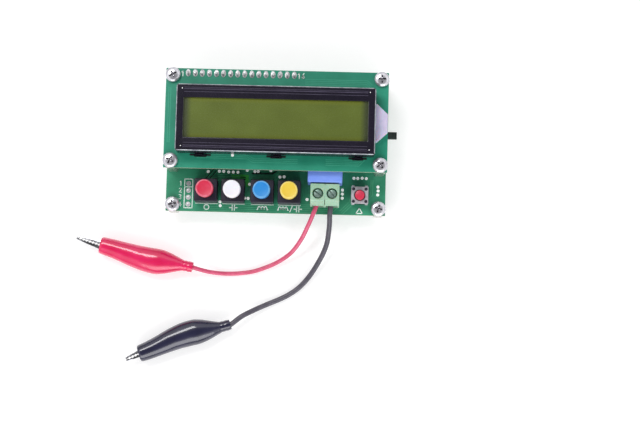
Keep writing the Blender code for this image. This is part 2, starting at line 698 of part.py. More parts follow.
def controller(frame):
    """The measuring controller chip on the main board, under the display."""
    bm = bmesh.new()
    low = BOARD_TOP + GAP
    rings = []
    for half, z in ((4.9, low), (5.0, low + 0.6 * MM), (4.9, low + 1.3 * MM)):
        square = [(-half, -half), (half, -half), (half, half), (-half, half)]
        rings.append([(a * MM - 8.0 * MM, b * MM + 4.0 * MM, z) for a, b in square])
    add_loft(bm, rings)
    make_object("controller_chip", bm, material("chip_black"), frame)


def smooth_route(points, steps):
    """Points along a smooth curve that passes through the route's own points."""
    ends = [2 * points[0] - points[1], *points, 2 * points[-1] - points[-2]]
    out = []
    for before, start, end, after in zip(ends, ends[1:], ends[2:], ends[3:]):
        for i in range(steps):
            t = i / steps
            out.append(
                0.5
                * (
                    2 * start
                    + (end - before) * t
                    + (2 * before - 5 * start + 4 * end - after) * t**2
                    + (3 * start - before - 3 * end + after) * t**3
                )
            )
    out.append(points[-1])
    return out


def lead(name, finish):
    """A test lead from inside the terminal's wire entry to the rear of its clip's boot."""
    route = [Vector(point) * MM for point in LEAD_ROUTES[name]]
    points = smooth_route(route, 2)
    curve = bpy.data.curves.new(f"{name}_lead", "CURVE")
    curve.dimensions = "3D"
    curve.bevel_depth = LEAD_RADIUS[name]
    curve.bevel_resolution = 2
    curve.use_fill_caps = True
    spline = curve.splines.new("POLY")
    spline.points.add(len(points) - 1)
    for spot, point in zip(spline.points, points):
        spot.co = (*point, 1.0)
    curve.materials.append(finish)
    made = bpy.data.objects.new(f"{name}_lead", curve)
    bpy.context.scene.collection.objects.link(made)


def boot_bulge(distance, bulge):
    """How far the boot's middle is pushed sideways by the handles inside it."""
    return bulge * MM * 0.5 * (1 - math.cos(2 * math.pi * distance * MM / BOOT_LENGTH))


def boot_ring(distance, half_width, half_height, bulge):
    """One oval section of the boot, across its length."""
    side = boot_bulge(distance, bulge)
    return [
        (-distance * MM, side + y, z)
        for y, z in (
            (half_width * math.cos(2 * math.pi * i / 16), half_height * math.sin(2 * math.pi * i / 16))
            for i in range(16)
        )
    ]


def boot(name, holder, bulge, finish):
    """The soft boot: a hollow oval sleeve, open at the mouth, closed round the lead at the rear."""
    outside = [boot_ring(s, a * MM, b * MM, bulge) for s, a, b in BOOT_SECTIONS]
    inside = [
        boot_ring(s, a * MM - BOOT_WALL, b * MM - BOOT_WALL, bulge) for s, a, b in BOOT_SECTIONS[:-2]
    ]
    bm = bmesh.new()
    add_loft(bm, outside[::-1] + inside)
    make_object(f"{name}_boot", bm, finish, holder, smooth=True)


def jaw_section(x, back, edge, half_height, side):
    """A channel section across the jaw: its back, two chamfered corners and two side walls."""
    corner = min(0.45 * MM, half_height - 1.1 * SHEET)
    inner_back, inner_corner = back - SHEET, max(corner - 0.5 * SHEET, 0.15 * SHEET)
    inner_height = half_height - SHEET
    upper = [
        (edge, half_height),
        (back - corner, half_height),
        (back, half_height - corner),
    ]
    lower = [(y, -z) for y, z in reversed(upper)]
    inner_lower = [
        (edge, -inner_height),
        (inner_back - inner_corner, -inner_height),
        (inner_back, -inner_height + inner_corner),
    ]
    inner_upper = [(y, -z) for y, z in reversed(inner_lower)]
    return [(x, side * y, z) for y, z in upper + lower + inner_lower + inner_upper]


def jaw(name, holder, side, half_height, finish):
    """One pressed jaw with its handle, drilled for the rivet; side -1 is the fixed one."""
    slim = half_height / (1.75 * MM)
    stations = [
        (-HANDLE_LENGTH, 2.8, 2.0, 1.3 * slim),
        (-6.0 * MM, 2.5, 1.6, 1.55 * slim),
        (-2.6 * MM, 2.2, 1.0, 1.75 * slim),
        (-1.3 * MM, 2.15, -0.9, 1.75 * slim),
        (0.0, 2.1, -1.3, 1.75 * slim),
        (1.3 * MM, 2.0, -0.9, 1.7 * slim),
        (2.2 * MM, 1.85, 0.2, 1.6 * slim),
        (6.0 * MM, 1.45, 0.2, 1.15 * slim),
        (10.0 * MM, 1.1, 0.2, 0.85),
        (JAW_LENGTH, 0.7, 0.2, 0.6),
    ]
    rings = [jaw_section(x, back * MM, edge * MM, high * MM, side) for x, back, edge, high in stations]
    bm = bmesh.new()
    add_loft(bm, rings)
    made = make_object(name, bm, finish, holder)
    bore = bmesh.new()
    add_bores(bore, [(0.0, 0.0)], RIVET_RADIUS + 0.2 * MM, 12, -3 * MM, 3 * MM)
    boolean(made, bore, "DIFFERENCE", name + "_bore")


def rivet(name, holder, finish):
    """The pin that the jaws turn on, headed at both ends."""
    bm = bmesh.new()
    head, shoulder, end = 0.95 * MM, 1.95 * MM, 2.2 * MM
    profile = [
        (head, -end),
        (head, -shoulder),
        (RIVET_RADIUS, -shoulder),
        (RIVET_RADIUS, shoulder),
        (head, shoulder),
        (head, end),
    ]
    add_turned(bm, profile, 12)
    make_object(name, bm, finish, holder, smooth=True)


def spring(name, holder, finish):
    """The torsion spring round the rivet, one leg along each handle."""
    turns, radius, wire = 1.5, 0.95 * MM, 0.17 * MM
    path = [Vector((-6.5 * MM, -1.6 * MM, -0.35 * MM)), Vector((-3.4 * MM, -1.4 * MM, -0.35 * MM))]
    count = 18
    for i in range(count + 1):
        angle = math.radians(-90) + 2 * math.pi * turns * i / count
        height = (-0.35 + 0.7 * i / count) * MM
        path.append(Vector((radius * math.cos(angle), radius * math.sin(angle), height)))
    path += [Vector((-3.4 * MM, 1.4 * MM, 0.35 * MM)), Vector((-6.5 * MM, 1.6 * MM, 0.35 * MM))]
    rings = []
    for i, point in enumerate(path):
        along = (path[min(i + 1, len(path) - 1)] - path[max(i - 1, 0)]).normalized()
        side = along.cross(Vector((0, 0, 1))).normalized()
        rise = side.cross(along)
        rings.append([point + wire * (a * side + b * rise) for a, b in circle(1.0, 6)])
    bm = bmesh.new()
    add_loft(bm, rings)
    make_object(name, bm, finish, holder, smooth=True)


def clip(name, rubber):
    """A crocodile clip in its boot, at the end of its lead."""
    facts = CLIPS[name]
    holder = bpy.data.objects.new(f"{name}_boot_place", None)
    holder.location = (facts["mouth"][0] * MM, facts["mouth"][1] * MM, BOOT_AXIS_HEIGHT)
    holder.rotation_euler = (0.0, 0.0, math.radians(facts["turn"]))
    bpy.context.scene.collection.objects.link(holder)
    boot(name, holder, facts["bulge"], rubber)

    pivot = bpy.data.objects.new(f"{name}_clip_pivot", None)
    skew = math.radians(facts["skew"])
    depth = facts["depth"] * MM
    pivot.parent = holder
    pivot.location = (-depth * math.cos(skew), -depth * math.sin(skew), 0.0)
    pivot.rotation_euler = (0.0, 0.0, skew)
    bpy.context.scene.collection.objects.link(pivot)
    steel = material("clip_steel")
    jaw(f"{name}_jaw_fixed", pivot, -1, 1.75 * MM, steel)
    jaw(f"{name}_jaw_moving", pivot, 1, 1.15 * MM, steel)
    rivet(f"{name}_rivet", pivot, steel)
    spring(f"{name}_spring", pivot, steel)


def build():
    """Models every piece in an empty scene."""
    for old in list(bpy.data.objects):
        bpy.data.objects.remove(old, do_unlink=True)
    frame = bpy.data.objects.new("meter_frame", None)
    frame.location = (-LEVER_OVERHANG / 2, 0.0, 0.0)
    bpy.context.scene.collection.objects.link(frame)
    main_board(frame)
    display_board(frame)
    pin_row(frame)
    stacking_hardware(frame)
    bezel(frame)
    display_glass(frame)
    backlight(frame)
    push_switches(frame)
    function_key(frame)
    terminal_block(frame)
    terminal_clamps(frame)
    relay(frame)
    power_switch(frame)
    power_inlet(frame)
    controller(frame)
    finishes = {
        "red": material("red_pvc"),
        "black": material("black_pvc"),
    }
    for name, finish in finishes.items():
        lead(name, finish)
        clip(name, finish)


build()
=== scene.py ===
"""The looks of the bench meter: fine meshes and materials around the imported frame."""

import math
from itertools import product

import bmesh
import bpy
from mathutils import Matrix, Vector, noise


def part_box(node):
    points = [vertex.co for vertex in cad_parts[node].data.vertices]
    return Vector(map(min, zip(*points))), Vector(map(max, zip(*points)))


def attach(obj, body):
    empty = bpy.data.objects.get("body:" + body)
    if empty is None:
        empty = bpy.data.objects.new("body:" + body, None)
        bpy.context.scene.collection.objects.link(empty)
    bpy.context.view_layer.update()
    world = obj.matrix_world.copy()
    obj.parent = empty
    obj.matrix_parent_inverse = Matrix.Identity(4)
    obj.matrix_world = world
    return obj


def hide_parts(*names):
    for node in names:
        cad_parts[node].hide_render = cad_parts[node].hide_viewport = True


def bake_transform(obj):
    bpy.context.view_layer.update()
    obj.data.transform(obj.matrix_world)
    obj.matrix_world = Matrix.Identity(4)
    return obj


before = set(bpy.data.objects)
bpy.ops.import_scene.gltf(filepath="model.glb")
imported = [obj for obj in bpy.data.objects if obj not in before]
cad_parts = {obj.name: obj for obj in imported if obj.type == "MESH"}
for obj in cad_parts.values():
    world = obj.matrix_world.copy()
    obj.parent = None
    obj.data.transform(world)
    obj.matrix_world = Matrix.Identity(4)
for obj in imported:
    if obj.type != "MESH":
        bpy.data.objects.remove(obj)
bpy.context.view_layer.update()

MM = 0.001  # lengths are in millimetres unless a comment says metres


def measured(node):
    """A CAD node's lower corner, upper corner, centre and half size."""
    low, high = [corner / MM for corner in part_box(node)]
    return low, high, (low + high) / 2, (high - low) / 2


SWITCHES = {"zero": "red", "hi_c": "white", "hi_l": "blue", "l_c": "yellow"}
PIN_PITCH = 2.54
HEADER_WAYS = 16
INK = 0.06
SIGN_WEIGHT = 0.36
BEZEL_RIB = 0.12

MAIN_LOW, MAIN_HIGH, *_ = measured("main_pcb")
LCD_LOW, LCD_HIGH, *_ = measured("lcd_pcb")
HEADER_LOW, HEADER_HIGH, *_ = measured("lcd_header")
BOARD_X = (MAIN_LOW.x + MAIN_HIGH.x) / 2
LCD_Y = (LCD_LOW.y + LCD_HIGH.y) / 2
TOP = MAIN_HIGH.z  # the main board's upper face
LCD_TOP = LCD_HIGH.z
PIN_XS = [HEADER_LOW.x + PIN_PITCH * (i + 0.5) for i in range(HEADER_WAYS)]
PIN_Y = (HEADER_LOW.y + HEADER_HIGH.y) / 2
PAD_ROW_X = BOARD_X - 31.85
PAD_ROW_YS = [-15.0 - PIN_PITCH * i for i in range(4)]

# The clips: mouth of the boot, its turn, the jaws' skew in it, the pivot's depth, the boot's bulge
CLIPS = {
    "red": {"mouth": (-65.5, -38.1), "turn": 167.8, "skew": -5.0, "depth": 3.8, "bulge": 1.1},
    "black": {"mouth": (-49.9, -77.3), "turn": 199.3, "skew": 6.0, "depth": 7.8, "bulge": -1.5},
}
BOOT_AXIS_HEIGHT = 3.7
BOOT_LENGTH = 34.8
BOOT_WALL = 0.55
BOOT_COLLAR = 30.5
BOOT_SECTIONS = [  # distance from the mouth, half width, half height
    (0.0, 3.1, 2.9), (6.0, 3.55, 3.1), (12.0, 4.1, 3.35), (18.0, 4.6, 3.6), (22.0, 4.7, 3.7),
    (25.0, 4.1, 3.3), (28.0, 3.1, 2.7), (31.0, 2.1, 2.0), (34.8, 2.0, 1.9),
]
JAW_SHEET = 0.38
JAW_STATIONS = [  # distance from the rivet, back, edge, half height, and 1 where that follows the jaw
    (-11.0, 2.75, 2.0, 1.3, 1), (-6.0, 2.5, 1.6, 1.55, 1), (-2.6, 2.2, 1.0, 1.75, 1),
    (-1.3, 2.15, -0.9, 1.75, 1), (0.0, 2.1, -1.3, 1.75, 1), (1.3, 2.0, -0.9, 1.7, 1),
    (2.2, 1.8, 0.12, 1.6, 1), (6.0, 1.4, 0.12, 1.15, 1), (10.0, 1.1, 0.12, 0.85, 0),
    (12.4, 0.85, 0.12, 0.62, 0), (13.0, 0.7, 0.12, 0.6, 0),
]
TOOTH_PITCH = 0.6
TOOTH_DEPTH = 0.42

# The leads, in metres, from inside the terminal to the boot
LEAD_RADIUS = {"red": 0.0008, "black": 0.00095}
LEAD_ROUTES = {
    "red": [
        (0.0134, -0.0213, 0.0111), (0.0130, -0.0230, 0.0109), (0.0120, -0.0256, 0.0102),
        (0.0110, -0.0280, 0.0092), (0.0099, -0.0304, 0.0081), (0.0087, -0.0330, 0.0068),
        (0.0072, -0.0355, 0.0055), (0.0056, -0.0377, 0.0043), (0.0038, -0.0396, 0.0032),
        (0.0006, -0.0419, 0.0021), (-0.0032, -0.0439, 0.0014), (-0.0088, -0.0460, 0.0010),
        (-0.0130, -0.0468, 0.0009), (-0.0172, -0.0472, 0.0009), (-0.0215, -0.0472, 0.0012),
        (-0.0256, -0.0468, 0.0021), (-0.0286, -0.0462, 0.0031), (-0.0312, -0.0455, 0.0037),
    ],
    "black": [
        (0.0186, -0.0213, 0.0111), (0.0183, -0.0232, 0.0108), (0.0181, -0.0260, 0.0099),
        (0.0181, -0.0288, 0.0086), (0.0178, -0.0322, 0.0070), (0.0173, -0.0356, 0.0056),
        (0.0160, -0.0392, 0.0043), (0.0143, -0.0425, 0.0032), (0.0122, -0.0460, 0.0022),
        (0.0096, -0.0495, 0.0015), (0.0070, -0.0521, 0.0011), (0.0041, -0.0542, 0.0010),
        (0.0008, -0.0560, 0.0010), (-0.0028, -0.0576, 0.0011), (-0.0063, -0.0592, 0.0017),
        (-0.0097, -0.0609, 0.0025), (-0.0132, -0.0629, 0.0034), (-0.0167, -0.0657, 0.0037),
    ],
}


# ---------------------------------------------------------------- materials


def rgb(red, green, blue):
    """Display values from 0 to 255 as the linear colour that a shader takes."""
    out = []
    for value in (red, green, blue):
        value /= 255
        out.append(value / 12.92 if value <= 0.04045 else ((value + 0.055) / 1.055) ** 2.4)
    return (*out, 1.0)


def lightened(colour, share):
    return [value + (255 - value) * share for value in colour]


def plug(made, socket, value):
    """Gives a socket a value, or links another node's socket to it."""
    if isinstance(value, bpy.types.NodeSocket):
        made.node_tree.links.new(value, socket)
    else:
        socket.default_value = value


def step(made, kind, inputs=(), **settings):
    """Adds a shader node; inputs maps its sockets to values or to other nodes' sockets."""
    added = made.node_tree.nodes.new("ShaderNode" + kind)
    for name, value in settings.items():
        setattr(added, name, value)
    for name, value in dict(inputs).items():
        plug(made, added.inputs[name], value)
    return added


def shader(made):
    return made.node_tree.nodes["Principled BSDF"]


def started(name, sockets):
    """A new node material with values on its Principled shader's own sockets."""
    made = bpy.data.materials.new(name)
    made.use_nodes = True
    for socket, value in dict(sockets).items():
        shader(made).inputs[socket].default_value = value
    return made


def drive(made, socket, source):
    made.node_tree.links.new(source, shader(made).inputs[socket])


def place(made, stretch=(1, 1, 1)):
    """Object coordinates in metres, stretched along an axis."""
    spot = step(made, "TexCoord").outputs["Object"]
    return step(made, "Mapping", {"Vector": spot, "Scale": stretch}).outputs["Vector"]


def grain(made, size, detail=3.0, stretch=(1, 1, 1)):
    """Noise whose features are about size millimetres across."""
    inputs = {"Vector": place(made, stretch), "Scale": 1 / (size * MM), "Detail": detail}
    inputs["Roughness"] = 0.55
    return step(made, "TexNoise", inputs).outputs["Fac"]


def ramp(made, factor, stops):
    """A colour ramp through stops of (position, colour)."""
    node = step(made, "ValToRGB", {"Fac": factor})
    elements = node.color_ramp.elements
    while len(elements) < len(stops):
        elements.new(0.5)
    for element, (position, colour) in zip(elements, stops):
        element.position = position
        element.color = colour
    return node.outputs["Color"]


def spread(made, factor, low, high, from_low=0.3, from_high=0.7):
    """Maps a factor onto a range of values."""
    inputs = {"Value": factor, "From Min": from_low, "From Max": from_high}
    inputs.update({"To Min": low, "To Max": high})
    return step(made, "MapRange", inputs).outputs["Result"]


def mix(made, factor, first, second):
    """Mixes two colours; the sockets are numbered because their names repeat."""
    node = step(made, "Mix", data_type="RGBA")
    for index, value in ((0, factor), (6, first), (7, second)):
        plug(made, node.inputs[index], value)
    return node.outputs[2]


def math_step(made, operation, first, second=0.0):
    node = step(made, "Math", operation=operation)
    for socket, value in zip(node.inputs, (first, second)):
        plug(made, socket, value)
    return node.outputs[0]


def bump(made, height, depth, strength=1.0, after=None):
    """A bump of about depth millimetres, on top of another one."""
    inputs = {"Height": height, "Distance": depth * MM, "Strength": strength}
    if after:
        inputs["Normal"] = after
    return step(made, "Bump", inputs).outputs["Normal"]


def surfaced(made, grit, rough, depth, strength=1.0):
    """Varies a finish's gloss and relief with one grain."""
    drive(made, "Roughness", spread(made, grit, *rough))
    drive(made, "Normal", bump(made, grit, depth, strength))
    return made


def patterned(name, colour, other, rough=(0.3, 0.45), blotch=5.0, grit=0.25, depth=0.01, sockets=()):
    """A moulded, painted or printed finish: blotches of two colours, with a fine grit on top."""
    made = started(name, sockets)
    stops = [(0.3, rgb(*colour)), (0.7, rgb(*other))]
    drive(made, "Base Color", ramp(made, grain(made, blotch, 4.0), stops))
    return surfaced(made, grain(made, grit), rough, depth)


def plated(name, colour, other, rough=(0.12, 0.26), stretch=(1, 1, 6), metallic=1.0):
    """Plated metal with fine drawn lines and a few dull spots."""
    made = started(name, {"Metallic": metallic})
    stops = [(0.35, rgb(*colour)), (0.7, rgb(*other))]
    drive(made, "Base Color", ramp(made, grain(made, 1.6, 4.0), stops))
    return surfaced(made, grain(made, 0.16, 2.0, stretch), rough, 0.004, 0.6)


def upward_share(made):
    """1 on level faces and 0 on upright ones, either way up."""
    normal = step(made, "TexCoord").outputs["Normal"]
    part = step(made, "SeparateXYZ", {"Vector": normal}).outputs["Z"]
    return spread(made, math_step(made, "ABSOLUTE", part), 0.0, 1.0, 0.45, 0.55)


def waves(made, pitch, direction, **more):
    """Parallel bands, pitch millimetres apart."""
    inputs = {"Vector": place(made), "Scale": 1 / (pitch * MM * math.pi), **more}
    return step(made, "TexWave", inputs, bands_direction=direction).outputs["Fac"]


def board_finish(name, dark, light, edge):
    """Solder mask over glass cloth, and the bare laminate on the cut edges and in the holes."""
    dark, light, edge = rgb(*dark), rgb(*light), rgb(*edge)
    made = started(name, {"Coat Weight": 0.35, "Coat Roughness": 0.12})
    threads = [waves(made, 0.55, direction, Distortion=1.5) for direction in "XY"]
    cloth = math_step(made, "MULTIPLY", *threads)
    mask = ramp(made, grain(made, 7.0, 5.0), [(0.32, dark), (0.68, light)])
    mask = mix(made, spread(made, cloth, 0.0, 0.12, 0.0, 1.0), mask, light)
    raw = mix(made, spread(made, waves(made, 0.22, "Z"), 0.0, 0.6, 0.0, 1.0), edge, dark)
    drive(made, "Base Color", mix(made, upward_share(made), raw, mask))
    fine = grain(made, 0.4)
    drive(made, "Roughness", spread(made, fine, 0.3, 0.42))
    drive(made, "Normal", bump(made, fine, 0.006, after=bump(made, cloth, 0.006)))
    return made


def solder_finish():
    """Hand-soldered tin: bright, with dull flow patches."""
    made = started("solder", {"Metallic": 0.5})
    patches = grain(made, 0.9, 4.0)
    stops = [(0.35, rgb(176, 172, 178)), (0.62, rgb(238, 238, 240))]
    drive(made, "Base Color", ramp(made, patches, stops))
    drive(made, "Roughness", spread(made, patches, 0.5, 0.24))
    drive(made, "Normal", bump(made, grain(made, 0.35, 2.0), 0.03))
    return made


def glass_finish(low, high):
    """The display behind its polariser: olive, duller at the ends, yellower above and below."""
    made = started("glass", {"Coat Weight": 0.25, "Coat Roughness": 0.08})
    middle, half = (low + high) / 2, (high - low) / 2
    spot = step(made, "TexCoord").outputs["Object"]
    parts = step(made, "SeparateXYZ", {"Vector": spot})

    def nearing(axis, centre, start, stop):
        away = math_step(made, "SUBTRACT", parts.outputs[axis], centre)
        return spread(made, math_step(made, "ABSOLUTE", away), 0.0, 1.0, start, stop)

    end = nearing("X", middle.x, half.x - 4.3 * MM, half.x - 2.4 * MM)
    band = nearing("Y", middle.y, half.y - 3.6 * MM, half.y - 2.0 * MM)
    olive = ramp(made, grain(made, 14.0, 2.0), [(0.35, rgb(88, 100, 40)), (0.65, rgb(95, 108, 45))])
    olive = mix(made, band, olive, rgb(106, 115, 36))
    drive(made, "Base Color", mix(made, end, olive, rgb(66, 74, 46)))
    return surfaced(made, grain(made, 0.2, 2.0), (0.22, 0.3), 0.002)


def translucent(weight, scale):
    """Light spreading in a plastic, over a scale in metres."""
    return {"Subsurface Weight": weight, "Subsurface Scale": scale}


COATED = {"Coat Weight": 0.25, "Coat Roughness": 0.25}
GLOSSY = {"Coat Weight": 0.6, "Coat Roughness": 0.08, **translucent(0.12, 0.0015)}
# A slight white self-glow on parts that are no lamp: painted light for the flash glinting on the vias
# and the bezel's corner dimples
GLOW = {"Emission Color": (1, 1, 1, 1), "Emission Strength": 0.22}

# Two colours, roughness, blotch size, grit size, relief and other sockets
PATTERNED = {
    "main_track": ((64, 160, 118), (84, 176, 134), (0.25, 0.4), 5.0, 0.25, 0.01, COATED),
    "dark_track": ((6, 38, 32), (14, 52, 42)),
    "bright_mask": ((50, 176, 70), (74, 190, 84), (0.3, 0.4), 2.0),
    "display_track": ((50, 160, 128), (70, 172, 140), (0.25, 0.4), 5.0, 0.25, 0.01, COATED),
    "ink": ((226, 246, 236), (246, 255, 250), (0.5, 0.7), 1.2, 0.12),
    # Near white with the self-glow: the tinned rings' own colour in part, and in part a painted
    # highlight, and the glow is painted light
    "via": ((244, 252, 248), (255, 255, 255), (0.45, 0.6), 0.8, 0.15, 0.01, GLOW),
    "bezel": ((22, 19, 31), (31, 27, 41), (0.2, 0.3), 9.0, 0.3, 0.006, {"Specular IOR Level": 0.35}),
    # Light grey, part metallic, for the bezel's rounded outer top edge: a painted highlight
    "bezel_edge": ((126, 128, 140), (196, 204, 208), (0.3, 0.5), 2.0, 0.2, 0.008, {"Metallic": 0.4}),
    # Greyish olive for the window's left and right sills: a painted reflection
    "window_edge": ((84, 88, 78), (116, 122, 104), (0.35, 0.5), 2.0, 0.2, 0.008),
    # Lighter than the bezel paint, for the stamped ribs: a painted highlight
    "rib": ((52, 46, 66), (72, 66, 88), (0.3, 0.42), 6.0, 0.25, 0.008),
    # Near black teal sheets laid on the display board: painted shade in the slots and under the bezel
    # tabs
    "slot": ((10, 22, 22), (16, 34, 32), (0.6, 0.8)),
    "lamp": ((196, 190, 220), (212, 208, 232), (0.3, 0.42), 3.0, 0.3, 0.006, translucent(0.3, 0.002)),
    "header": ((24, 24, 26), (36, 36, 38), (0.4, 0.55)),
    "switch": ((26, 22, 40), (36, 32, 52), (0.38, 0.52), 4.0, 0.18),
    "plunger": ((214, 214, 208), (232, 232, 228), (0.4, 0.5), 5.0, 0.25, 0.01,
                translucent(0.2, 0.001)),
    "terminal": ((148, 184, 158), (164, 200, 174), (0.35, 0.5), 5.0, 0.2, 0.012,
                 translucent(0.15, 0.0012)),
    "relay": ((108, 140, 236), (128, 160, 244), (0.3, 0.45), 6.0, 0.2, 0.01, COATED),
    "lever": ((42, 50, 50), (56, 66, 64), (0.4, 0.55), 3.0, 0.2, 0.015),
    "chip": ((34, 34, 36), (48, 48, 50), (0.5, 0.65), 2.0, 0.12, 0.012),
    "ceramic": ((158, 128, 98), (178, 148, 116), (0.35, 0.5), 1.0, 0.15),
    "red_boot": ((214, 24, 82), (228, 40, 100), (0.16, 0.24), 6.0, 0.5, 0.006, GLOSSY),
    "black_boot": ((32, 32, 54), (42, 42, 68), (0.16, 0.26), 6.0, 0.5, 0.006,
                   {"Coat Weight": 0.7, "Coat Roughness": 0.06}),
    "red_lead": ((200, 62, 100), (218, 90, 126), (0.3, 0.42), 2.5, 0.3, 0.012, COATED),
    "black_lead": ((62, 60, 72), (86, 82, 94), (0.32, 0.45), 2.5, 0.3, 0.012, COATED),
}
# Two colours, roughness, stretch of the drawn lines, and how metallic
PLATED = {
    "pin": ((208, 204, 196), (232, 230, 226), (0.2, 0.34)),
    "brass": ((198, 196, 192), (212, 210, 206), (0.2, 0.3), (1, 1, 6), 0.85),
    "chrome": ((206, 204, 212), (240, 240, 246), (0.14, 0.26), (1, 1, 1), 0.72),
    # A darker grey for the screws' cross recesses: painted shade
    "recess": ((84, 78, 92), (128, 122, 134), (0.3, 0.45), (1, 1, 1)),
    "steel": ((186, 186, 192), (222, 220, 228), (0.28, 0.45), (6, 1, 1), 0.55),
    "screw_steel": ((134, 162, 154), (186, 206, 198), (0.25, 0.4), (1, 1, 1), 0.6),
    "clip": ((160, 160, 166), (206, 206, 212), (0.12, 0.26), (1, 5, 1)),
}
CAPS = {"red": (208, 38, 70), "white": (236, 234, 242), "blue": (30, 132, 210),
        "yellow": (230, 196, 58)}


def palette():
    """Every finish on the object, by name."""
    made = {
        "main_board": board_finish("main_board", (42, 132, 98), (60, 154, 118), (186, 196, 160)),
        "display_board": board_finish("display_board", (28, 136, 108), (42, 151, 122),
                                      (196, 208, 182)),
        "solder": solder_finish(),
        "glass": glass_finish(*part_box("lcd_glass")),
    }
    made.update({name: patterned(name, *row) for name, row in PATTERNED.items()})
    made.update({name: plated(name, *row) for name, row in PLATED.items()})
    for name, colour in CAPS.items():
        cap, highlight_rim, lighter = "cap_" + name, "rim_" + name, lightened(colour, 0.1)
        made[cap] = patterned(cap, colour, lighter, (0.3, 0.42), 3.0, 0.15, 0.008,
                              translucent(0.1, 0.0008))
        # Each rim finish is 38 percent lighter than its cap: a painted highlight on the cap's rounded
        # rim
        made[highlight_rim] = patterned(highlight_rim, lightened(colour, 0.38), lighter, (0.25, 0.35), 2.0, 0.2, 0.006)
    return made


FINISH = palette()


# ---------------------------------------------------------------- mesh helpers


def add_loft(bm, rings, capped=True):
    """Faces through a row of rings with equal point counts."""
    rows = [[bm.verts.new(point) for point in ring] for ring in rings]
    for row, after in zip(rows, rows[1:]):
        for i in range(len(row)):
            j = (i + 1) % len(row)
            bm.faces.new((row[i], row[j], after[j], after[i]))
    if capped:
        bm.faces.new(rows[0])
        bm.faces.new(rows[-1])
    return rows


def add_hoop(bm, rings):
    """A closed hoop: a loft whose last ring joins its first."""
    rows = add_loft(bm, rings, capped=False)
    for i in range(len(rows[0])):
        j = (i + 1) % len(rows[0])
        bm.faces.new((rows[-1][i], rows[-1][j], rows[0][j], rows[0][i]))


def circle(radius, segments=32, centre=(0.0, 0.0), z=0.0, squeeze=(1.0, 1.0)):
    """Points on a level circle or oval."""
    angles = [2 * math.pi * i / segments for i in range(segments)]
    return [Vector((centre[0] + radius * squeeze[0] * math.cos(angle),
                    centre[1] + radius * squeeze[1] * math.sin(angle), z)) for angle in angles]


def add_turned(bm, profile, segments=32, centre=(0.0, 0.0), squeeze=(1.0, 1.0)):
    """A turned solid from (radius, height) pairs, closed flat at both ends."""
    add_loft(bm, [circle(radius, segments, centre, z, squeeze) for radius, z in profile])


def add_collar(bm, centre, outer, inner, low, high, segments):
    """A flat ring with a square section."""
    profile = ((outer, low), (outer, high), (inner, high), (inner, low))
    add_hoop(bm, [circle(radius, segments, centre, z) for radius, z in profile])


def rounded(half_x, half_y, radius, z, centre=(0.0, 0.0), steps=5):
    """A level rectangle with round corners."""
    points = []
    for quarter, (sign_x, sign_y) in enumerate(((1, 1), (-1, 1), (-1, -1), (1, -1))):
        for i in range(steps + 1):
            angle = math.pi / 2 * (quarter + i / steps)
            x = sign_x * (half_x - radius) + radius * math.cos(angle)
            y = sign_y * (half_y - radius) + radius * math.sin(angle)
            points.append(Vector((centre[0] + x, centre[1] + y, z)))
    return points


def inset_rings(half, rows, corner, centre):
    """Level rectangles with one corner radius, from (inset, height) pairs."""
    return [rounded(half.x - inset, half.y - inset, corner, z, centre) for inset, z in rows]


def add_block(bm, low, high, edge=0.1, corner=None):
    """A block with round upright edges and softened top and bottom edges."""
    low, high = Vector(low), Vector(high)
    centre, half = (low + high) / 2, (high - low) / 2
    corner = edge if corner is None else corner
    rings = []
    for inset, z in ((edge, low.z), (0.3 * edge, low.z + 0.3 * edge), (0.0, low.z + edge),
                     (0.0, high.z - edge), (0.3 * edge, high.z - 0.3 * edge), (edge, high.z)):
        radius = max(corner - inset, 0.25 * corner)
        rings.append(rounded(half.x - inset, half.y - inset, radius, z, centre, 3))
    add_loft(bm, rings)


def add_prism(bm, outline, low, high, order="XYZ"):
    """A straight prism on a closed outline, along the third letter of the order."""
    places = [order.index(letter) for letter in "XYZ"]
    add_loft(bm, [[[(a, b, level)[i] for i in places] for a, b in outline] for level in (low, high)])


def mitres(points):
    """For each point of a line, its sideways shift per unit of distance to the left."""
    shifts = []
    for i, point in enumerate(points):
        before = (point - points[i - 1]).normalized() if i else None
        after = (points[i + 1] - point).normalized() if i + 1 < len(points) else None
        before, after = before or after, after or before
        along = (before + after).normalized()
        shifts.append(Vector((-along.y, along.x)) / max(0.5, along.dot(before)))
    return shifts


def add_strip(bm, points, width, low, high):
    """A flat strip along a line of points, mitred at its corners."""
    points = [Vector(point) for point in points]
    rings = []
    for point, shift in zip(points, mitres(points)):
        left, right = point + shift * width / 2, point - shift * width / 2
        corners = ((left, low), (right, low), (right, high), (left, high))
        rings.append([(corner.x, corner.y, z) for corner, z in corners])
    add_loft(bm, rings)


def turned_about(spot, degrees):
    """A turn about the vertical, then a shift to a spot."""
    return Matrix.Translation((*spot, 0.0)) @ Matrix.Rotation(math.radians(degrees), 4, "Z")


def join_mesh(bm, other, matrix):
    """Adds another bmesh's solids to this one, moved by a matrix."""
    other.transform(matrix)
    spare = bpy.data.meshes.new("spare")
    other.to_mesh(spare)
    other.free()
    bm.from_mesh(spare)
    bpy.data.meshes.remove(spare)


def paint(bm, index):
    """Gives the faces added since the last call this material."""
    for face in bm.faces:
        if not face.tag:
            face.material_index = index
            face.tag = True


def linked(name, data):
    """An object with this data, linked to the scene."""
    made = bpy.data.objects.new(name, data)
    bpy.context.scene.collection.objects.link(made)
    return made


def smoothed(mesh, sharp):
    """Smooth shading, with edges sharper than this angle kept."""
    mesh.shade_smooth()
    mesh.set_sharp_from_angle(angle=math.radians(sharp))


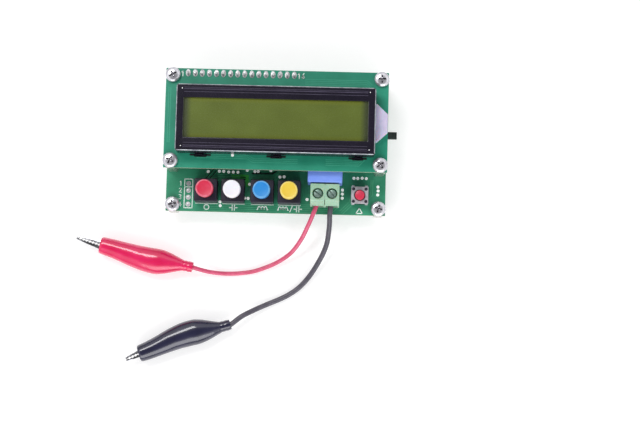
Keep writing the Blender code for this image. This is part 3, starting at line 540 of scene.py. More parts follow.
def to_mesh(name, bm, matrix):
    """Frees a bmesh into a new mesh, moved by a matrix."""
    bmesh.ops.recalc_face_normals(bm, faces=bm.faces)
    bm.transform(matrix)
    mesh = bpy.data.meshes.new(name)
    bm.to_mesh(mesh)
    bm.free()
    return mesh


def mesh_object(name, bm, finishes, sharp=32.0, matrix=None):
    """A bmesh in millimetres as a linked object in metres."""
    scale = Matrix.Scale(MM, 4)
    mesh = to_mesh(name, bm, scale if matrix is None else matrix @ scale)
    for finish in finishes.split():
        mesh.materials.append(FINISH[finish])
    smoothed(mesh, sharp)
    return linked(name, mesh)


def carve(piece, tool_bm, sharp=32.0):
    """Cuts a tool's solid from a piece for good."""
    tool = linked("tool", to_mesh("tool", tool_bm, Matrix.Scale(MM, 4)))
    cut = piece.modifiers.new("cut", "BOOLEAN")
    cut.operation = "DIFFERENCE"
    cut.object = tool
    graph = bpy.context.evaluated_depsgraph_get()
    piece.data = bpy.data.meshes.new_from_object(piece.evaluated_get(graph))
    piece.modifiers.clear()
    bpy.data.objects.remove(tool)
    smoothed(piece.data, sharp)


def seat_piece(piece, body="meter", node=None):
    """Rides a piece on its body, in place of the CAD node it stands for."""
    if piece.type == "MESH":
        piece.modifiers.new("flat_faces", "WEIGHTED_NORMAL").keep_sharp = True
    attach(piece, body)
    if node:
        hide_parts(node)
    return piece


def softened(name, node, finish, width, body="meter"):
    """A CAD node's shape with its sharp edges rounded off."""
    bm = bmesh.new()
    bm.from_mesh(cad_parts[node].data)
    bm.transform(Matrix.Scale(1 / MM, 4))
    bmesh.ops.remove_doubles(bm, verts=bm.verts, dist=0.001)
    bmesh.ops.dissolve_limit(bm, angle_limit=math.radians(1), verts=bm.verts, edges=bm.edges)
    sharp = [edge for edge in bm.edges
             if len(edge.link_faces) == 2 and edge.calc_face_angle() > math.radians(30)]
    bmesh.ops.bevel(bm, geom=sharp, offset=width, segments=2, profile=0.6,
                    affect="EDGES", clamp_overlap=True)
    return seat_piece(mesh_object(name, bm, finish, 40.0), body, node)


def spots_round(centre, xs, ys):
    """Every pairing of these distances from a centre."""
    return [(centre[0] + x, centre[1] + y) for x, y in product(xs, ys)]


# ---------------------------------------------------------------- boards


def bus(points, count, pitch):
    """Parallel lines beside a line of points."""
    points = [Vector(point) for point in points]
    shifts = [(k - (count - 1) / 2) * pitch for k in range(count)]
    return [[point + side * shift for point, side in zip(points, mitres(points))]
            for shift in shifts]


def track_sheet(name, corner, buses, level, finish, thickness=0.03):
    """Copper under the mask as thin raised strips, from (width, pitch, count, points) rows."""
    bm = bmesh.new()
    for width, pitch, count, points in buses:
        points = [(corner.x + x, corner.y + y) for x, y in points]
        for line in bus(points, count, pitch):
            add_strip(bm, line, width, level, level + thickness)
    seat_piece(mesh_object(name, bm, finish, 20.0))


def main_tracks():
    """What shows of the lower board's copper in front of and beside the display."""
    track_sheet("main_tracks", MAIN_LOW, [
        (0.3, 0.7, 5, [(13.5, 1.9), (60, 1.9), (62.4, 4.3)]),
        (0.3, 0.75, 3, [(64.0, 0.8), (67.8, 4.6), (67.8, 6.0)]),
        (0.3, 0.7, 2, [(71.6, 4.4), (75.0, 7.6), (75.0, 13.0)]),
        (0.3, 0.9, 2, [(18.6, 13.4), (27.0, 13.4)]),
        (0.3, 0.7, 2, [(46.4, 2.6), (46.4, 12.0)]),
        (0.24, 0.7, 1, [(31.0, 13.2), (39.6, 13.2), (41.4, 15.2)]),
        (0.24, 1.1, 3, [(14.3, 11.6), (17.6, 15.6)]),
    ], TOP, "main_track")
    track_sheet("main_gaps", MAIN_LOW, [
        (0.5, 1.1, 2, [(14.6, 11.4), (17.9, 15.4)]),
        (0.6, 1.0, 1, [(31.0, 14.4), (38.6, 14.4), (40.6, 15.9), (48.6, 15.9)]),
        (0.3, 0.8, 2, [(21.0, 12.5), (29.0, 12.5)]),
        (0.45, 1.0, 1, [(44.6, 3.0), (44.6, 11.0)]),
    ], TOP, "dark_track", 0.02)
    patch = ((23.4, 14.2), (30.0, 13.8), (30.0, 9.4), (29.2, 9.4), (28.6, 12.4), (24.0, 12.4))
    bm = bmesh.new()
    add_prism(bm, [(MAIN_LOW.x + x, MAIN_LOW.y + y) for x, y in patch], TOP, TOP + 0.01)
    seat_piece(mesh_object("main_patch", bm, "bright_mask", 20.0))


def display_tracks():
    """Copper lines that show through the display board's mask round the bezel."""
    wide, deep = LCD_HIGH.x - LCD_LOW.x, LCD_HIGH.y - LCD_LOW.y
    after_pins = PIN_XS[-1] + 4 - LCD_LOW.x
    track_sheet("display_tracks", LCD_LOW, [
        (0.3, 0.65, 4, [(after_pins, deep - 4.0), (wide - 8, deep - 4.0), (wide - 6.6, deep - 5.4)]),
        (0.3, 0.65, 4, [(wide - 22, 3.1), (wide - 10.5, 3.1), (wide - 8.6, 5.0)]),
        (0.3, 0.65, 3, [(12, 4.4), (30, 4.4), (32, 3.2), (48, 3.2)]),
        (0.3, 0.7, 2, [(1.5, 9.0), (1.5, deep - 7.0)]),
    ], LCD_TOP, "display_track")


def vias():
    """Plated holes that show, by their distances from each board's front left corner."""
    main = [(15.1, 14.7), (19.2, 14.9), (20.8, 14.9), (22.6, 14.7), (24.3, 14.7), (26.0, 14.7),
            (29.4, 15.5), (32.2, 15.1), (33.4, 15.2), (38.0, 15.6), (41.4, 13.3), (42.9, 13.4),
            (30.4, 10.4), (28.7, 5.2), (30.0, 5.2), (19.8, 3.7), (19.9, 2.3), (51.5, 5.3),
            (64.3, 6.1), (64.3, 7.6), (64.3, 9.1), (77.2, 7.6), (77.3, 9.1), (77.2, 10.5),
            (68.4, 13.5), (69.8, 13.5), (71.4, 13.6), (72.9, 13.5)]
    display = [(BOARD_X - 15.3 - LCD_LOW.x, 4.9)]
    # The via finish is near white with a slight glow, partly the rings' own colour and partly a
    # painted highlight
    for name, places, corner, radius, level in (("vias", main, MAIN_LOW, 0.56, TOP),
                                                ("display_via", display, LCD_LOW, 0.54, LCD_TOP)):
        bm = bmesh.new()
        profile = [(radius, level), (radius, level + 0.03), (0.85 * radius, level + 0.05)]
        for x, y in places:
            add_turned(bm, profile, 14, (corner.x + x, corner.y + y))
        seat_piece(mesh_object(name, bm, "via", 30.0))


def add_joint(bm, spot, base, up=1, size=1.0, pin=0.3, squeeze=(1.0, 1.0)):
    """A soldered joint: its pad, the solder's hollow cone and the pin's end."""
    cone = [(1.0, 0.0), (1.0, 0.04), (0.86, 0.06), (0.6, 0.2), (0.45, 0.42), (0.38, 0.62),
            (pin, 0.68)]
    profile = [(radius * size, base + up * z) for radius, z in cone]
    profile += [(pin * 0.9, base + up * 1.0), (pin * 0.55, base + up * 1.1)]
    add_turned(bm, profile, 16, spot, squeeze)


def header_joints():
    """The display's pin row: an oval pad, solder and pin end for each way."""
    bm = bmesh.new()
    pad = [(0.85, LCD_TOP), (0.85, LCD_TOP + 0.05), (0.8, LCD_TOP + 0.07)]
    for i, x in enumerate(PIN_XS):
        add_turned(bm, pad, 20, (x, PIN_Y + 0.1), (1.0, 1.55))
        lean = 0.1 * math.sin(2.3 * i)
        add_joint(bm, (x + lean, PIN_Y - 0.15), LCD_TOP + 0.05, 1, 0.82, 0.3, (0.95, 1.3))
    seat_piece(mesh_object("header_joints", bm, "solder", 50.0))


def under_joints():
    """Soldered ends under the main board."""
    spots = [(x, PIN_Y) for x in PIN_XS]
    for name in SWITCHES:
        case = measured(f"switch_case_{name}")[2]
        spots += spots_round(case, (-2.0, 0.0, 2.0), (-2.2, 2.2))
    spots += spots_round(measured("func_plate")[2], (-3.25, 3.25), (-2.25, 2.25))
    for way in CLIPS:
        spots += spots_round(measured(f"terminal_screw_{way}")[2], (0.0,), (0.6,))
    *_, middle, half = measured("relay")
    spots += spots_round(middle, (1.2 - half.x, half.x - 1.2), (-2.2, 2.2))
    spots += spots_round(measured("power_switch_case")[2], (0.0,), (-2.0, 0.0, 2.0))
    bm = bmesh.new()
    for spot in spots:
        add_joint(bm, spot, MAIN_LOW.z, -1, 0.85)
    for spot in spots_round(measured("power_inlet")[2], (-2.6, 2.6), (-3.6, 3.6)):
        add_joint(bm, spot, MAIN_LOW.z, -1, 1.15, 0.45, (1.4, 0.8))
    seat_piece(mesh_object("under_joints", bm, "solder", 50.0))


# Each digit's stroke in a square one high
DIGITS = {
    "1": [(0.2, 0.8), (0.5, 1.0), (0.5, 0.0)],
    "2": [(0.05, 0.8), (0.3, 1.0), (0.65, 0.95), (0.7, 0.65), (0.05, 0.0), (0.75, 0.0)],
    "3": [(0.05, 1.0), (0.7, 1.0), (0.35, 0.58), (0.7, 0.4), (0.65, 0.08), (0.35, 0.0), (0.05, 0.12)],
    "4": [(0.55, 0.0), (0.55, 1.0), (0.02, 0.3), (0.78, 0.3)],
    "6": [(0.62, 1.0), (0.2, 0.62), (0.05, 0.25), (0.25, 0.0), (0.6, 0.05), (0.7, 0.32), (0.45, 0.52),
          (0.12, 0.42)],
}


def add_line(bm, points, weight=SIGN_WEIGHT):
    """A printed line on the main board."""
    add_strip(bm, points, weight, TOP, TOP + INK)


def add_strokes(bm, points, weight, level=TOP):
    """A line of separate short strokes, for sharp corners."""
    for first, second in zip(points, points[1:]):
        first, second = Vector(first), Vector(second)
        over = (second - first).normalized() * weight * 0.4
        add_strip(bm, [first - over, second + over], weight, level, level + INK)


def add_number(bm, text, corner, height, level=TOP, weight=0.26):
    """A number in plain strokes."""
    for i, digit in enumerate(text):
        x = corner[0] + 0.86 * height * i
        points = [(x + 0.72 * a * height, corner[1] + b * height) for a, b in DIGITS[digit]]
        add_strokes(bm, points, weight, level)


def add_capacitor_sign(bm, x, y):
    for side in (-1, 1):
        plate = x + 0.42 * side
        add_line(bm, [(x + 1.55 * side, y), (plate, y)])
        add_line(bm, [(plate, y - 1.1), (plate, y + 1.1)])


def add_coil_sign(bm, x, y):
    low = y - 0.45
    points = [(x - 2.1, low)]
    for hump, i in product((-1.15, 0.0, 1.15), range(9)):
        angle = math.pi * i / 8
        points.append((x + hump - 0.575 * math.cos(angle), low + 1.15 * math.sin(angle)))
    add_line(bm, [*points, (x + 2.1, low)])


def switch_signs(bm):
    """Under each switch a plain sign: a ring, a capacitor, a coil, and both with a bar between."""
    zero, hi_c, hi_l, l_c = [measured(f"switch_case_{name}")[2].x for name in SWITCHES]
    y = MAIN_LOW.y + 1.65
    add_collar(bm, (zero, y), 0.88 + SIGN_WEIGHT / 2, 0.88 - SIGN_WEIGHT / 2, TOP, TOP + INK, 28)
    add_capacitor_sign(bm, hi_c, y)
    add_coil_sign(bm, hi_l, y)
    add_coil_sign(bm, l_c - 2.3, y)
    add_line(bm, [(l_c + 0.2, y - 1.15), (l_c + 1.1, y + 1.15)])
    add_capacitor_sign(bm, l_c + 3.1, y)
    x = measured("func_plate")[2].x
    low, high = y - 1.0, y + 0.9
    add_strokes(bm, [(x - 1.15, low), (x + 1.15, low), (x, high), (x - 1.15, low)], SIGN_WEIGHT)


def board_ink():
    """White printing on the boards: frames, signs and numbers."""
    bm = bmesh.new()
    left, right = PAD_ROW_X - 1.45, PAD_ROW_X + 1.5
    top, bottom = PAD_ROW_YS[0] + 1.6, PAD_ROW_YS[-1] - 1.35
    for y in (top, bottom, (PAD_ROW_YS[0] + PAD_ROW_YS[1]) / 2):
        add_line(bm, [(left, y), (right, y)], 0.28)
    for x in (left, right):
        add_line(bm, [(x, bottom - 0.14), (x, top + 0.14)], 0.28)
    for i, y in enumerate(PAD_ROW_YS):
        add_number(bm, str(i + 1), (left - 1.95, y - 0.75), 1.6)
    for name in SWITCHES:
        low, high, *_ = measured(f"switch_case_{name}")
        add_line(bm, [(low.x, low.y - 0.16), (high.x, low.y - 0.16)], 0.2)
    switch_signs(bm)
    seat_piece(mesh_object("board_ink", bm, "ink", 20.0))
    bm = bmesh.new()
    add_number(bm, "1", (PIN_XS[0] - 2.55, PIN_Y - 1.1), 1.8, LCD_TOP, 0.32)
    add_number(bm, "16", (PIN_XS[-1] + 1.15, PIN_Y - 1.0), 1.8, LCD_TOP, 0.32)
    seat_piece(mesh_object("display_ink", bm, "ink", 20.0))


def pad_row():
    """The four tinned pads beside the first switch."""
    bm = bmesh.new()
    fill = [(0.48, MAIN_LOW.z), (0.48, TOP + 0.02), (0.3, TOP + 0.06)]
    for y in PAD_ROW_YS:
        for level in (TOP, MAIN_LOW.z - 0.05):
            add_collar(bm, (PAD_ROW_X, y), 0.92, 0.5, level, level + 0.05, 24)
        add_turned(bm, fill, 16, (PAD_ROW_X, y))
    seat_piece(mesh_object("pad_row", bm, "solder", 30.0))


def boards():
    """Both boards keep their CAD shape and get their finish, copper, solder and print."""
    for node, finish in (("main_pcb", "main_board"), ("lcd_pcb", "display_board")):
        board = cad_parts[node]
        board.data.materials.clear()
        board.data.materials.append(FINISH[finish])
    main_tracks()
    display_tracks()
    vias()
    header_joints()
    under_joints()
    board_ink()
    pad_row()


# ---------------------------------------------------------------- display


def pressed_bezel():
    """The bezel: rounded steel pressing with a rolled window, stamped ribs and bent tabs."""
    low, high, centre, half = measured("lcd_bezel")
    window = Vector((32.65, 7.1))
    top, wall, notch_depth, notch_reach = high.z - BEZEL_RIB, 0.8, 1.6, 7.6
    outside = [(0.0, 0.9, low.z), (0.0, 0.9, top - 0.5), (0.05, 0.87, top - 0.3),
               (0.16, 0.8, top - 0.12), (0.34, 0.7, top - 0.02), (0.5, 0.6, top)]
    sill = [(0.4, 0.5, top), (0.12, 0.35, top - 0.12), (0.0, 0.3, top - 0.35),
            (0.0, 0.3, top - wall + BEZEL_RIB)]
    inside = [(wall, 0.4, top - wall + BEZEL_RIB - 0.05), (wall, 0.4, low.z)]
    rings = [rounded(size.x + side * inset, size.y + side * inset, corner, z, centre)
             for size, side, rows in ((half, -1, outside), (window, 1, sill), (half, -1, inside))
             for inset, corner, z in rows]
    bm = bmesh.new()
    add_hoop(bm, rings)
    for face in bm.faces:
        middle = face.calc_center_median()
        away_x, away_y = abs(middle.x - centre.x), abs(middle.y - centre.y)
        # Faces along the outer top edge get a light grey painted highlight
        if max(away_x - half.x, away_y - half.y) > -0.3 and middle.z > top - 0.25:
            face.material_index = 1
        # The window's left and right sills get a greyish olive painted reflection
        if away_y < window.y and 0.02 < away_x - window.x < 0.2 and middle.z > top - 0.3:
            face.material_index = 2
    bezel = mesh_object("bezel", bm, "bezel bezel_edge window_edge")
    near, far = high.x - notch_depth, high.x + 1
    front, rear = centre.y - notch_reach, centre.y + notch_reach
    notch = bmesh.new()
    add_prism(notch, [(near, front), (far, front), (far, rear), (near, rear)], low.z - 1, low.z + 3.3)
    carve(bezel, notch)
    seat_piece(bezel, "meter", "lcd_bezel")
    bezel_ribs(centre, half, top)
    bezel_tabs(centre, half, low.z)


def bezel_ribs(centre, half, top):
    """Stamped ribs along the bezel's long sides, painted lighter than the bezel as a painted
    highlight, and the dimples at its corners, painted white and glowing as painted glints.
    """
    bm = bmesh.new()
    for side, (inset, wide, rise) in product((-1, 1), ((1.9, 0.16, 1.0), (1.35, 0.1, 0.6),
                                                       (2.9, 0.1, 0.6))):
        y = centre.y + side * (half.y - inset)
        low = (centre.x - 32.6, y - wide, top - 0.1)
        high = (centre.x + 32.6, y + wide, top + rise * BEZEL_RIB)
        add_block(bm, low, high, 0.05)
    paint(bm, 0)
    # The corner dimples get the white, slightly glowing via finish: painted glints on the black steel
    dimple = [(0.18, top - 0.1), (0.18, top + 0.06), (0.12, top + BEZEL_RIB)]
    for spot in spots_round(centre, (-33.3, 33.3), (1.7 - half.y, half.y - 1.7)):
        add_turned(bm, dimple, 12, spot)
    paint(bm, 1)
    seat_piece(mesh_object("bezel_ribs", bm, "rib via"))


def bezel_tabs(centre, half, level):
    """Slots along the bezel's long sides, drawn as dark layered sheets on the display board that
    paint the shade in them and under the tabs, and the twisted tabs in them.
    """
    bm = bmesh.new()
    tabs = ((-26.8, 7.6, -4), (0.3, 7.0, 5), (29.4, 6.6, 2))
    for side, (x, wide, twist) in product((-1, 1), tabs):
        x, y = centre.x + x, centre.y + side * (half.y + 0.45)
        for share, shift, deep in ((0.5, 0.0, 0.42), (0.3, 0.15 * side, 0.62), (0.16, 0.1, 0.75)):
            low = (x - wide * share, y - deep + shift, LCD_TOP)
            high = (x + wide * share, y + deep * 0.8 + shift, LCD_TOP + 0.04)
            add_block(bm, low, high, 0.015, 0.3)
        paint(bm, 0)
        tab = bmesh.new()
        reach = wide * 0.26
        add_block(tab, (-reach, -0.3, LCD_TOP + 0.02), (reach, 0.3, level + 0.5), 0.1)
        add_block(tab, (-0.5, -0.12, level + 0.3), (0.7, 0.16, level + 0.62), 0.08)
        join_mesh(bm, tab, turned_about((x, y + 0.05 * side), twist))
        paint(bm, 1)
    seat_piece(mesh_object("bezel_tabs", bm, "slot bezel"))


def display_pane():
    """The liquid crystal pane: two glasses with the polariser on top."""
    low, high, *_ = measured("lcd_glass")
    joint = high.z - 0.62
    bm = bmesh.new()
    add_block(bm, low, (high.x, high.y, joint), 0.08)
    add_block(bm, (low.x + 0.5, low.y + 0.2, joint + 0.02),
              (high.x - 0.5, high.y - 0.2, high.z), 0.06)
    seat_piece(mesh_object("display_pane", bm, "glass"), "meter", "lcd_glass")


def header_strips():
    """The pin strip and socket strip: notched plastic and square pins."""
    half, notch = PIN_PITCH / 2, 0.35
    for node in ("lcd_header", "header_socket"):
        low, high, *_ = measured(node)
        if node == "lcd_header":
            base, lid = low.z, LCD_LOW.z - 0.3
            start, end = lid - 0.2, high.z
        else:
            base, lid = TOP + 0.3, high.z
            start, end = low.z, base + 0.2
        near, far = [], []
        for x, (shift, depth) in product(PIN_XS, ((-half, notch), (notch - half, 0.0),
                                                  (half - notch, 0.0), (half, notch))):
            x += shift + 0.001 * len(near)
            near.append((x, PIN_Y - half + depth))
            far.append((x, PIN_Y + half - depth))
        bm = bmesh.new()
        add_prism(bm, near + far[::-1], base, lid)
        paint(bm, 0)
        for x in PIN_XS:
            add_block(bm, (x - 0.3, PIN_Y - 0.3, start), (x + 0.3, PIN_Y + 0.3, end), 0.12, 0.06)
        paint(bm, 1)
        seat_piece(mesh_object(node + "_strip", bm, "header pin"), "meter", node)


def chip_blobs():
    """The display's two bonded chips under their resin, below its board."""
    bm = bmesh.new()
    drops = ((6.6, 0.0), (6.4, 0.35), (5.4, 0.85), (3.4, 1.2), (0.6, 1.3))
    profile = [(radius, LCD_LOW.z - drop) for radius, drop in drops]
    for x in (-14.0, 12.0):
        add_turned(bm, profile, 40, (BOARD_X + x, LCD_Y - 2.0))
    seat_piece(mesh_object("display_resin", bm, "chip", 60.0))


def display():
    pressed_bezel()
    display_pane()
    softened("lamp_guide", "lcd_backlight", "lamp", 0.3)
    header_strips()
    chip_blobs()


# ---------------------------------------------------------------- hardware


def pan_screw(node, level, flip=0.0, turn=0.0):
    """A pan-head screw with a cross recess."""
    profile = [(1.4, -5.0), (1.4, 0.3), (2.5, 0.3), (2.7, 0.36), (2.75, 0.5), (2.72, 0.7)]
    for i in range(1, 11):
        angle = math.pi / 2 * (1 - i / 10)
        profile.append((max(2.72 * math.sin(angle), 0.15), 0.7 + 1.2 * math.cos(angle) ** 0.75))
    bm = bmesh.new()
    add_turned(bm, profile, 56)
    screw = mesh_object(node + "_head", bm, "chrome recess", 40.0)
    rings = []
    for reach, width, z in ((1.65, 0.36, 2.4), (1.4, 0.3, 1.6), (0.8, 0.24, 0.8), (0.35, 0.16, 0.5)):
        arm = ((width, -width, z), (reach, -width * 0.8, z), (reach, width * 0.8, z))
        rings.append([Matrix.Rotation(math.pi / 2 * quarter, 3, "Z") @ Vector(corner)
                      for quarter, corner in product(range(4), arm)])
    recess = bmesh.new()
    add_loft(recess, rings)
    carve(screw, recess, 40.0)
    # The recess walls get the darker grey finish, painted shade inside the cross
    for face in screw.data.polygons:
        if face.center.xy.length < 1.8 * MM and face.normal.z < 0.75:
            face.material_index = 1
    middle = measured(node)[2]
    matrix = Matrix.Translation(Vector((middle.x, middle.y, level)) * MM)
    matrix = matrix @ Matrix.Rotation(flip, 4, "X") @ Matrix.Rotation(turn, 4, "Z")
    screw.data.transform(matrix)
    seat_piece(screw, "meter", node)


def hex_post(name, node):
    """A hexagonal post or foot with turned ends."""
    low, high, centre, _ = measured(node)
    stud = node.startswith("foot_rear")
    top = MAIN_LOW.z - 0.3 if stud else high.z
    flat_radius, segments = 2.5, 48

    def ring(limit, z):
        points = []
        for i in range(segments):
            angle = 2 * math.pi * i / segments
            flat = (angle + math.pi / 6) % (math.pi / 3) - math.pi / 6
            radius = min(limit, flat_radius / math.cos(math.pi / 6 - abs(flat)))
            points.append((centre.x + radius * math.cos(angle),
                           centre.y + radius * math.sin(angle), z))
        return points

    def circles(profile):
        return [circle(radius, segments, centre, z) for radius, z in profile]

    bm = bmesh.new()
    outer = [ring(2.45, low.z), ring(2.89, low.z + 0.35), ring(2.89, top - 0.35), ring(2.45, top)]
    if stud:
        add_loft(bm, outer + circles(((1.38, top), (1.38, high.z - 0.3), (1.1, high.z))))
    else:
        bore = ((1.9, top), (1.5, top - 0.4), (1.5, low.z + 0.4), (1.9, low.z))
        add_hoop(bm, outer + circles(bore))
    seat_piece(mesh_object(name, bm, "brass", 25.0), "meter", node)


def hardware():
    screws = [(f"lcd_screw_{row}_{side}", LCD_TOP)
              for row, side in product(("rear", "middle"), ("left", "right"))]
    screws += [(f"board_screw_front_{side}", TOP) for side in ("left", "right")]
    for i, (node, level) in enumerate(screws):
        pan_screw(node, level, 0.0, 0.5 + 1.1 * i)
    for side in ("left", "right"):
        pan_screw(f"post_screw_middle_{side}", MAIN_LOW.z, math.pi, 0.4)
        for row in ("rear", "middle"):
            hex_post(f"post_{row}_{side}", f"lcd_post_{row}_{side}")
        for row in ("rear", "front"):
            hex_post(f"hex_foot_{row}_{side}", f"foot_{row}_{side}")


# ---------------------------------------------------------------- controls


def push_switch(name, colour):
    """A push switch: moulded case with its lid seam, square plunger, round cap."""
    body = f"{name}_push"
    low, high, centre, half = measured(f"switch_case_{name}")
    lid = high.z
    rows = [(0.15, low.z), (0.0, low.z + 0.2), (0.0, lid - 1.5), (0.18, lid - 1.42),
            (0.18, lid - 1.3), (0.0, lid - 1.22), (0.0, lid - 0.3), (0.1, lid - 0.08), (0.32, lid)]
    well = ((2.7, lid), (2.6, lid - 0.12), (2.05, lid - 0.12), (1.9, lid - 0.3), (1.9, low.z + 1.2))
    bm = bmesh.new()
    add_loft(bm, inset_rings(half, rows, 0.45, centre)
             + [rounded(size, size, 0.3, z, centre) for size, z in well])
    seat_piece(mesh_object(f"{name}_case", bm, "switch", 28.0), "meter", f"switch_case_{name}")
    softened(f"{name}_plunger", f"switch_plunger_{name}", "plunger", 0.2, body)

    low, high, _, half = measured(f"switch_cap_{name}")
    radius = half.x
    profile = [(0.9 * radius, low.z), (0.97 * radius, low.z + 0.06), (radius, low.z + 0.3)]
    profile += [(radius - inset, high.z - drop) for inset, drop in
                ((0.0, 0.5), (0.05, 0.25), (0.17, 0.08), (0.36, 0.0), (0.6, 0.0), (0.75, 0.04))]
    bm = bmesh.new()
    add_turned(bm, [*profile, (0.3, high.z - 0.05)], 56, centre)
    # The outer ring of the cap's top edge gets the lighter rim finish, a painted highlight
    for face in bm.faces:
        spot = face.calc_center_median()
        if spot.z > high.z - 0.4 and face.normal.z < 0.99 and len(face.verts) == 4:
            face.material_index = int((spot.xy - centre.xy).length > radius - 0.5)
    seat_piece(mesh_object(f"{name}_cap", bm, f"cap_{colour} rim_{colour}", 30.0), body,
               f"switch_cap_{name}")


def function_key():
    """The tactile key: base, steel cover with four rivets and bent legs, and its button."""
    softened("key_base", "func_case", "switch", 0.15)
    softened("key_cover", "func_plate", "steel", 0.08)
    _, high, middle, _ = measured("func_plate")
    top = high.z + 0.12
    rivet = [(0.6, high.z - 0.2), (0.6, top - 0.08), (0.5, top), (0.12, top + 0.05)]
    bm = bmesh.new()
    for spot in spots_round(middle, (-2.25, 2.25), (-2.25, 2.25)):
        add_turned(bm, rivet, 20, spot)
    seat_piece(mesh_object("key_rivets", bm, "switch", 40.0))
    low, high, _, half = measured("func_button")
    profile = [(half.x, low.z), (half.x, high.z - 0.35), (half.x - 0.1, high.z - 0.12),
               (half.x - 0.35, high.z), (0.2, high.z)]
    bm = bmesh.new()
    add_turned(bm, profile, 40, middle)
    seat_piece(mesh_object("key_button", bm, "cap_red", 40.0), "func_key", "func_button")


def power_parts():
    """The slide switch and the power inlet at the right edge."""
    softened("slide_case", "power_switch_case", "steel", 0.15)
    low, high, *_ = measured("power_switch_lever")
    bm = bmesh.new()
    add_block(bm, low, high, 0.18)
    for i in range(3):
        x = high.x - 0.5 - 0.55 * i
        add_block(bm, (x - 0.12, low.y + 0.15, high.z - 0.06),
                  (x + 0.12, high.y - 0.15, high.z), 0.03)
    seat_piece(mesh_object("slide_lever", bm, "lever"), "power_lever", "power_switch_lever")
    softened("usb_inlet", "power_inlet", "steel", 0.08)


# ---------------------------------------------------------------- terminal, relay, small parts


def terminal():
    """The two-way screw terminal."""
    low, high, middle, _ = measured("terminal_housing")
    front, rear, top = low.y, high.y, high.z
    side = [(rear, low.z + 0.2), (rear - 0.2, low.z), (front + 0.2, low.z), (front, low.z + 0.2),
            (front, TOP + 6.4), (front + 0.1, TOP + 6.75), (front + 1.45, top - 0.22),
            (front + 1.75, top), (rear - 0.3, top), (rear - 0.08, top - 0.1), (rear, top - 0.3)]
    bm = bmesh.new()
    add_prism(bm, side, low.x, high.x, "YZX")
    ends = [edge for edge in bm.edges if abs(edge.verts[0].co.x - edge.verts[1].co.x) < 1e-6]
    bmesh.ops.bevel(bm, geom=ends, offset=0.16, segments=2, profile=0.6, affect="EDGES")
    housing = mesh_object("terminal_block", bm, "terminal", 28.0)

    well_profile = [(1.5, TOP + 4.0), (1.5, TOP + 7.0), (1.92, TOP + 7.0), (1.92, top - 0.25),
                    (2.15, top + 0.02), (2.15, top + 1)]
    wells, mouths = bmesh.new(), bmesh.new()
    for way in CLIPS:
        x, y, _ = measured(f"terminal_screw_{way}")[2]
        add_turned(wells, well_profile, 48, (x, y))
        add_block(mouths, (x - 2.1, front - 1, TOP + 0.9), (x + 2.1, y + 2.2, TOP + 6.1), 0.3)
        add_block(mouths, (x - 2.0, front - 0.4, TOP + 6.35), (x + 2.0, front + 0.1, TOP + 6.6), 0.05)
    x = middle.x
    add_block(mouths, (x - 0.12, front - 1, TOP + 6.9), (x + 0.12, rear + 1, top + 1), 0.02)
    carve(housing, wells, 28.0)
    carve(housing, mouths, 28.0)
    seat_piece(housing, "meter", "terminal_housing")
    trim = bmesh.new()
    add_block(trim, (x - 0.3, front + 1.9, top - 0.5), (x + 0.3, rear - 0.5, top - 0.06), 0.1)
    seat_piece(mesh_object("terminal_joint", trim, "terminal"))
    for way, angle in (("red", -38), ("black", -50)):
        clamp_screw(way, angle)
        softened(f"{way}_cage", f"terminal_cage_{way}", "screw_steel", 0.1,
                 f"{way}_terminal_cage")


def clamp_screw(way, angle):
    """A slotted clamp screw, deep in its well, with its slot at an angle in degrees."""
    low, high, middle, _ = measured(f"terminal_screw_{way}")
    top = high.z
    shoulder = top - 1.6
    profile = [(0.9, low.z), (1.1, low.z + 0.2), (1.1, shoulder), (1.5, shoulder),
               (1.6, shoulder + 0.12), (1.6, top - 0.35), (1.45, top - 0.12), (1.1, top), (0.3, top)]
    bm = bmesh.new()
    add_turned(bm, profile, 40, middle)
    screw = mesh_object(f"{way}_clamp_screw", bm, "screw_steel", 30.0)
    slot = bmesh.new()
    add_block(slot, (-3.0, -0.28, top - 0.7), (3.0, 0.28, top + 0.5), 0.04)
    slot.transform(turned_about(middle.xy, angle))
    carve(screw, slot, 30.0)
    seat_piece(screw, f"{way}_terminal_screw", f"terminal_screw_{way}")


def relay():
    """The sealed relay: moulded lid, base seam and a sealed vent."""
    low, high, centre, half = measured("relay")
    base, top = low.z, high.z
    rows = [(0.12, base), (0.0, base + 0.12), (0.0, base + 1.0), (0.14, base + 1.08),
            (0.14, base + 1.22), (0.04, base + 1.3), (0.04, top - 0.7), (0.16, top - 0.3),
            (0.4, top - 0.08), (0.75, top)]
    bm = bmesh.new()
    add_loft(bm, inset_rings(half, rows, 0.6, centre))
    vent = [(0.6, top - 0.1), (0.55, top), (0.4, top), (0.3, top - 0.04)]
    add_turned(bm, vent, 20, (low.x + 2.0, high.y - 2.0))
    seat_piece(mesh_object("relay_lid", bm, "relay", 25.0), "meter", "relay")


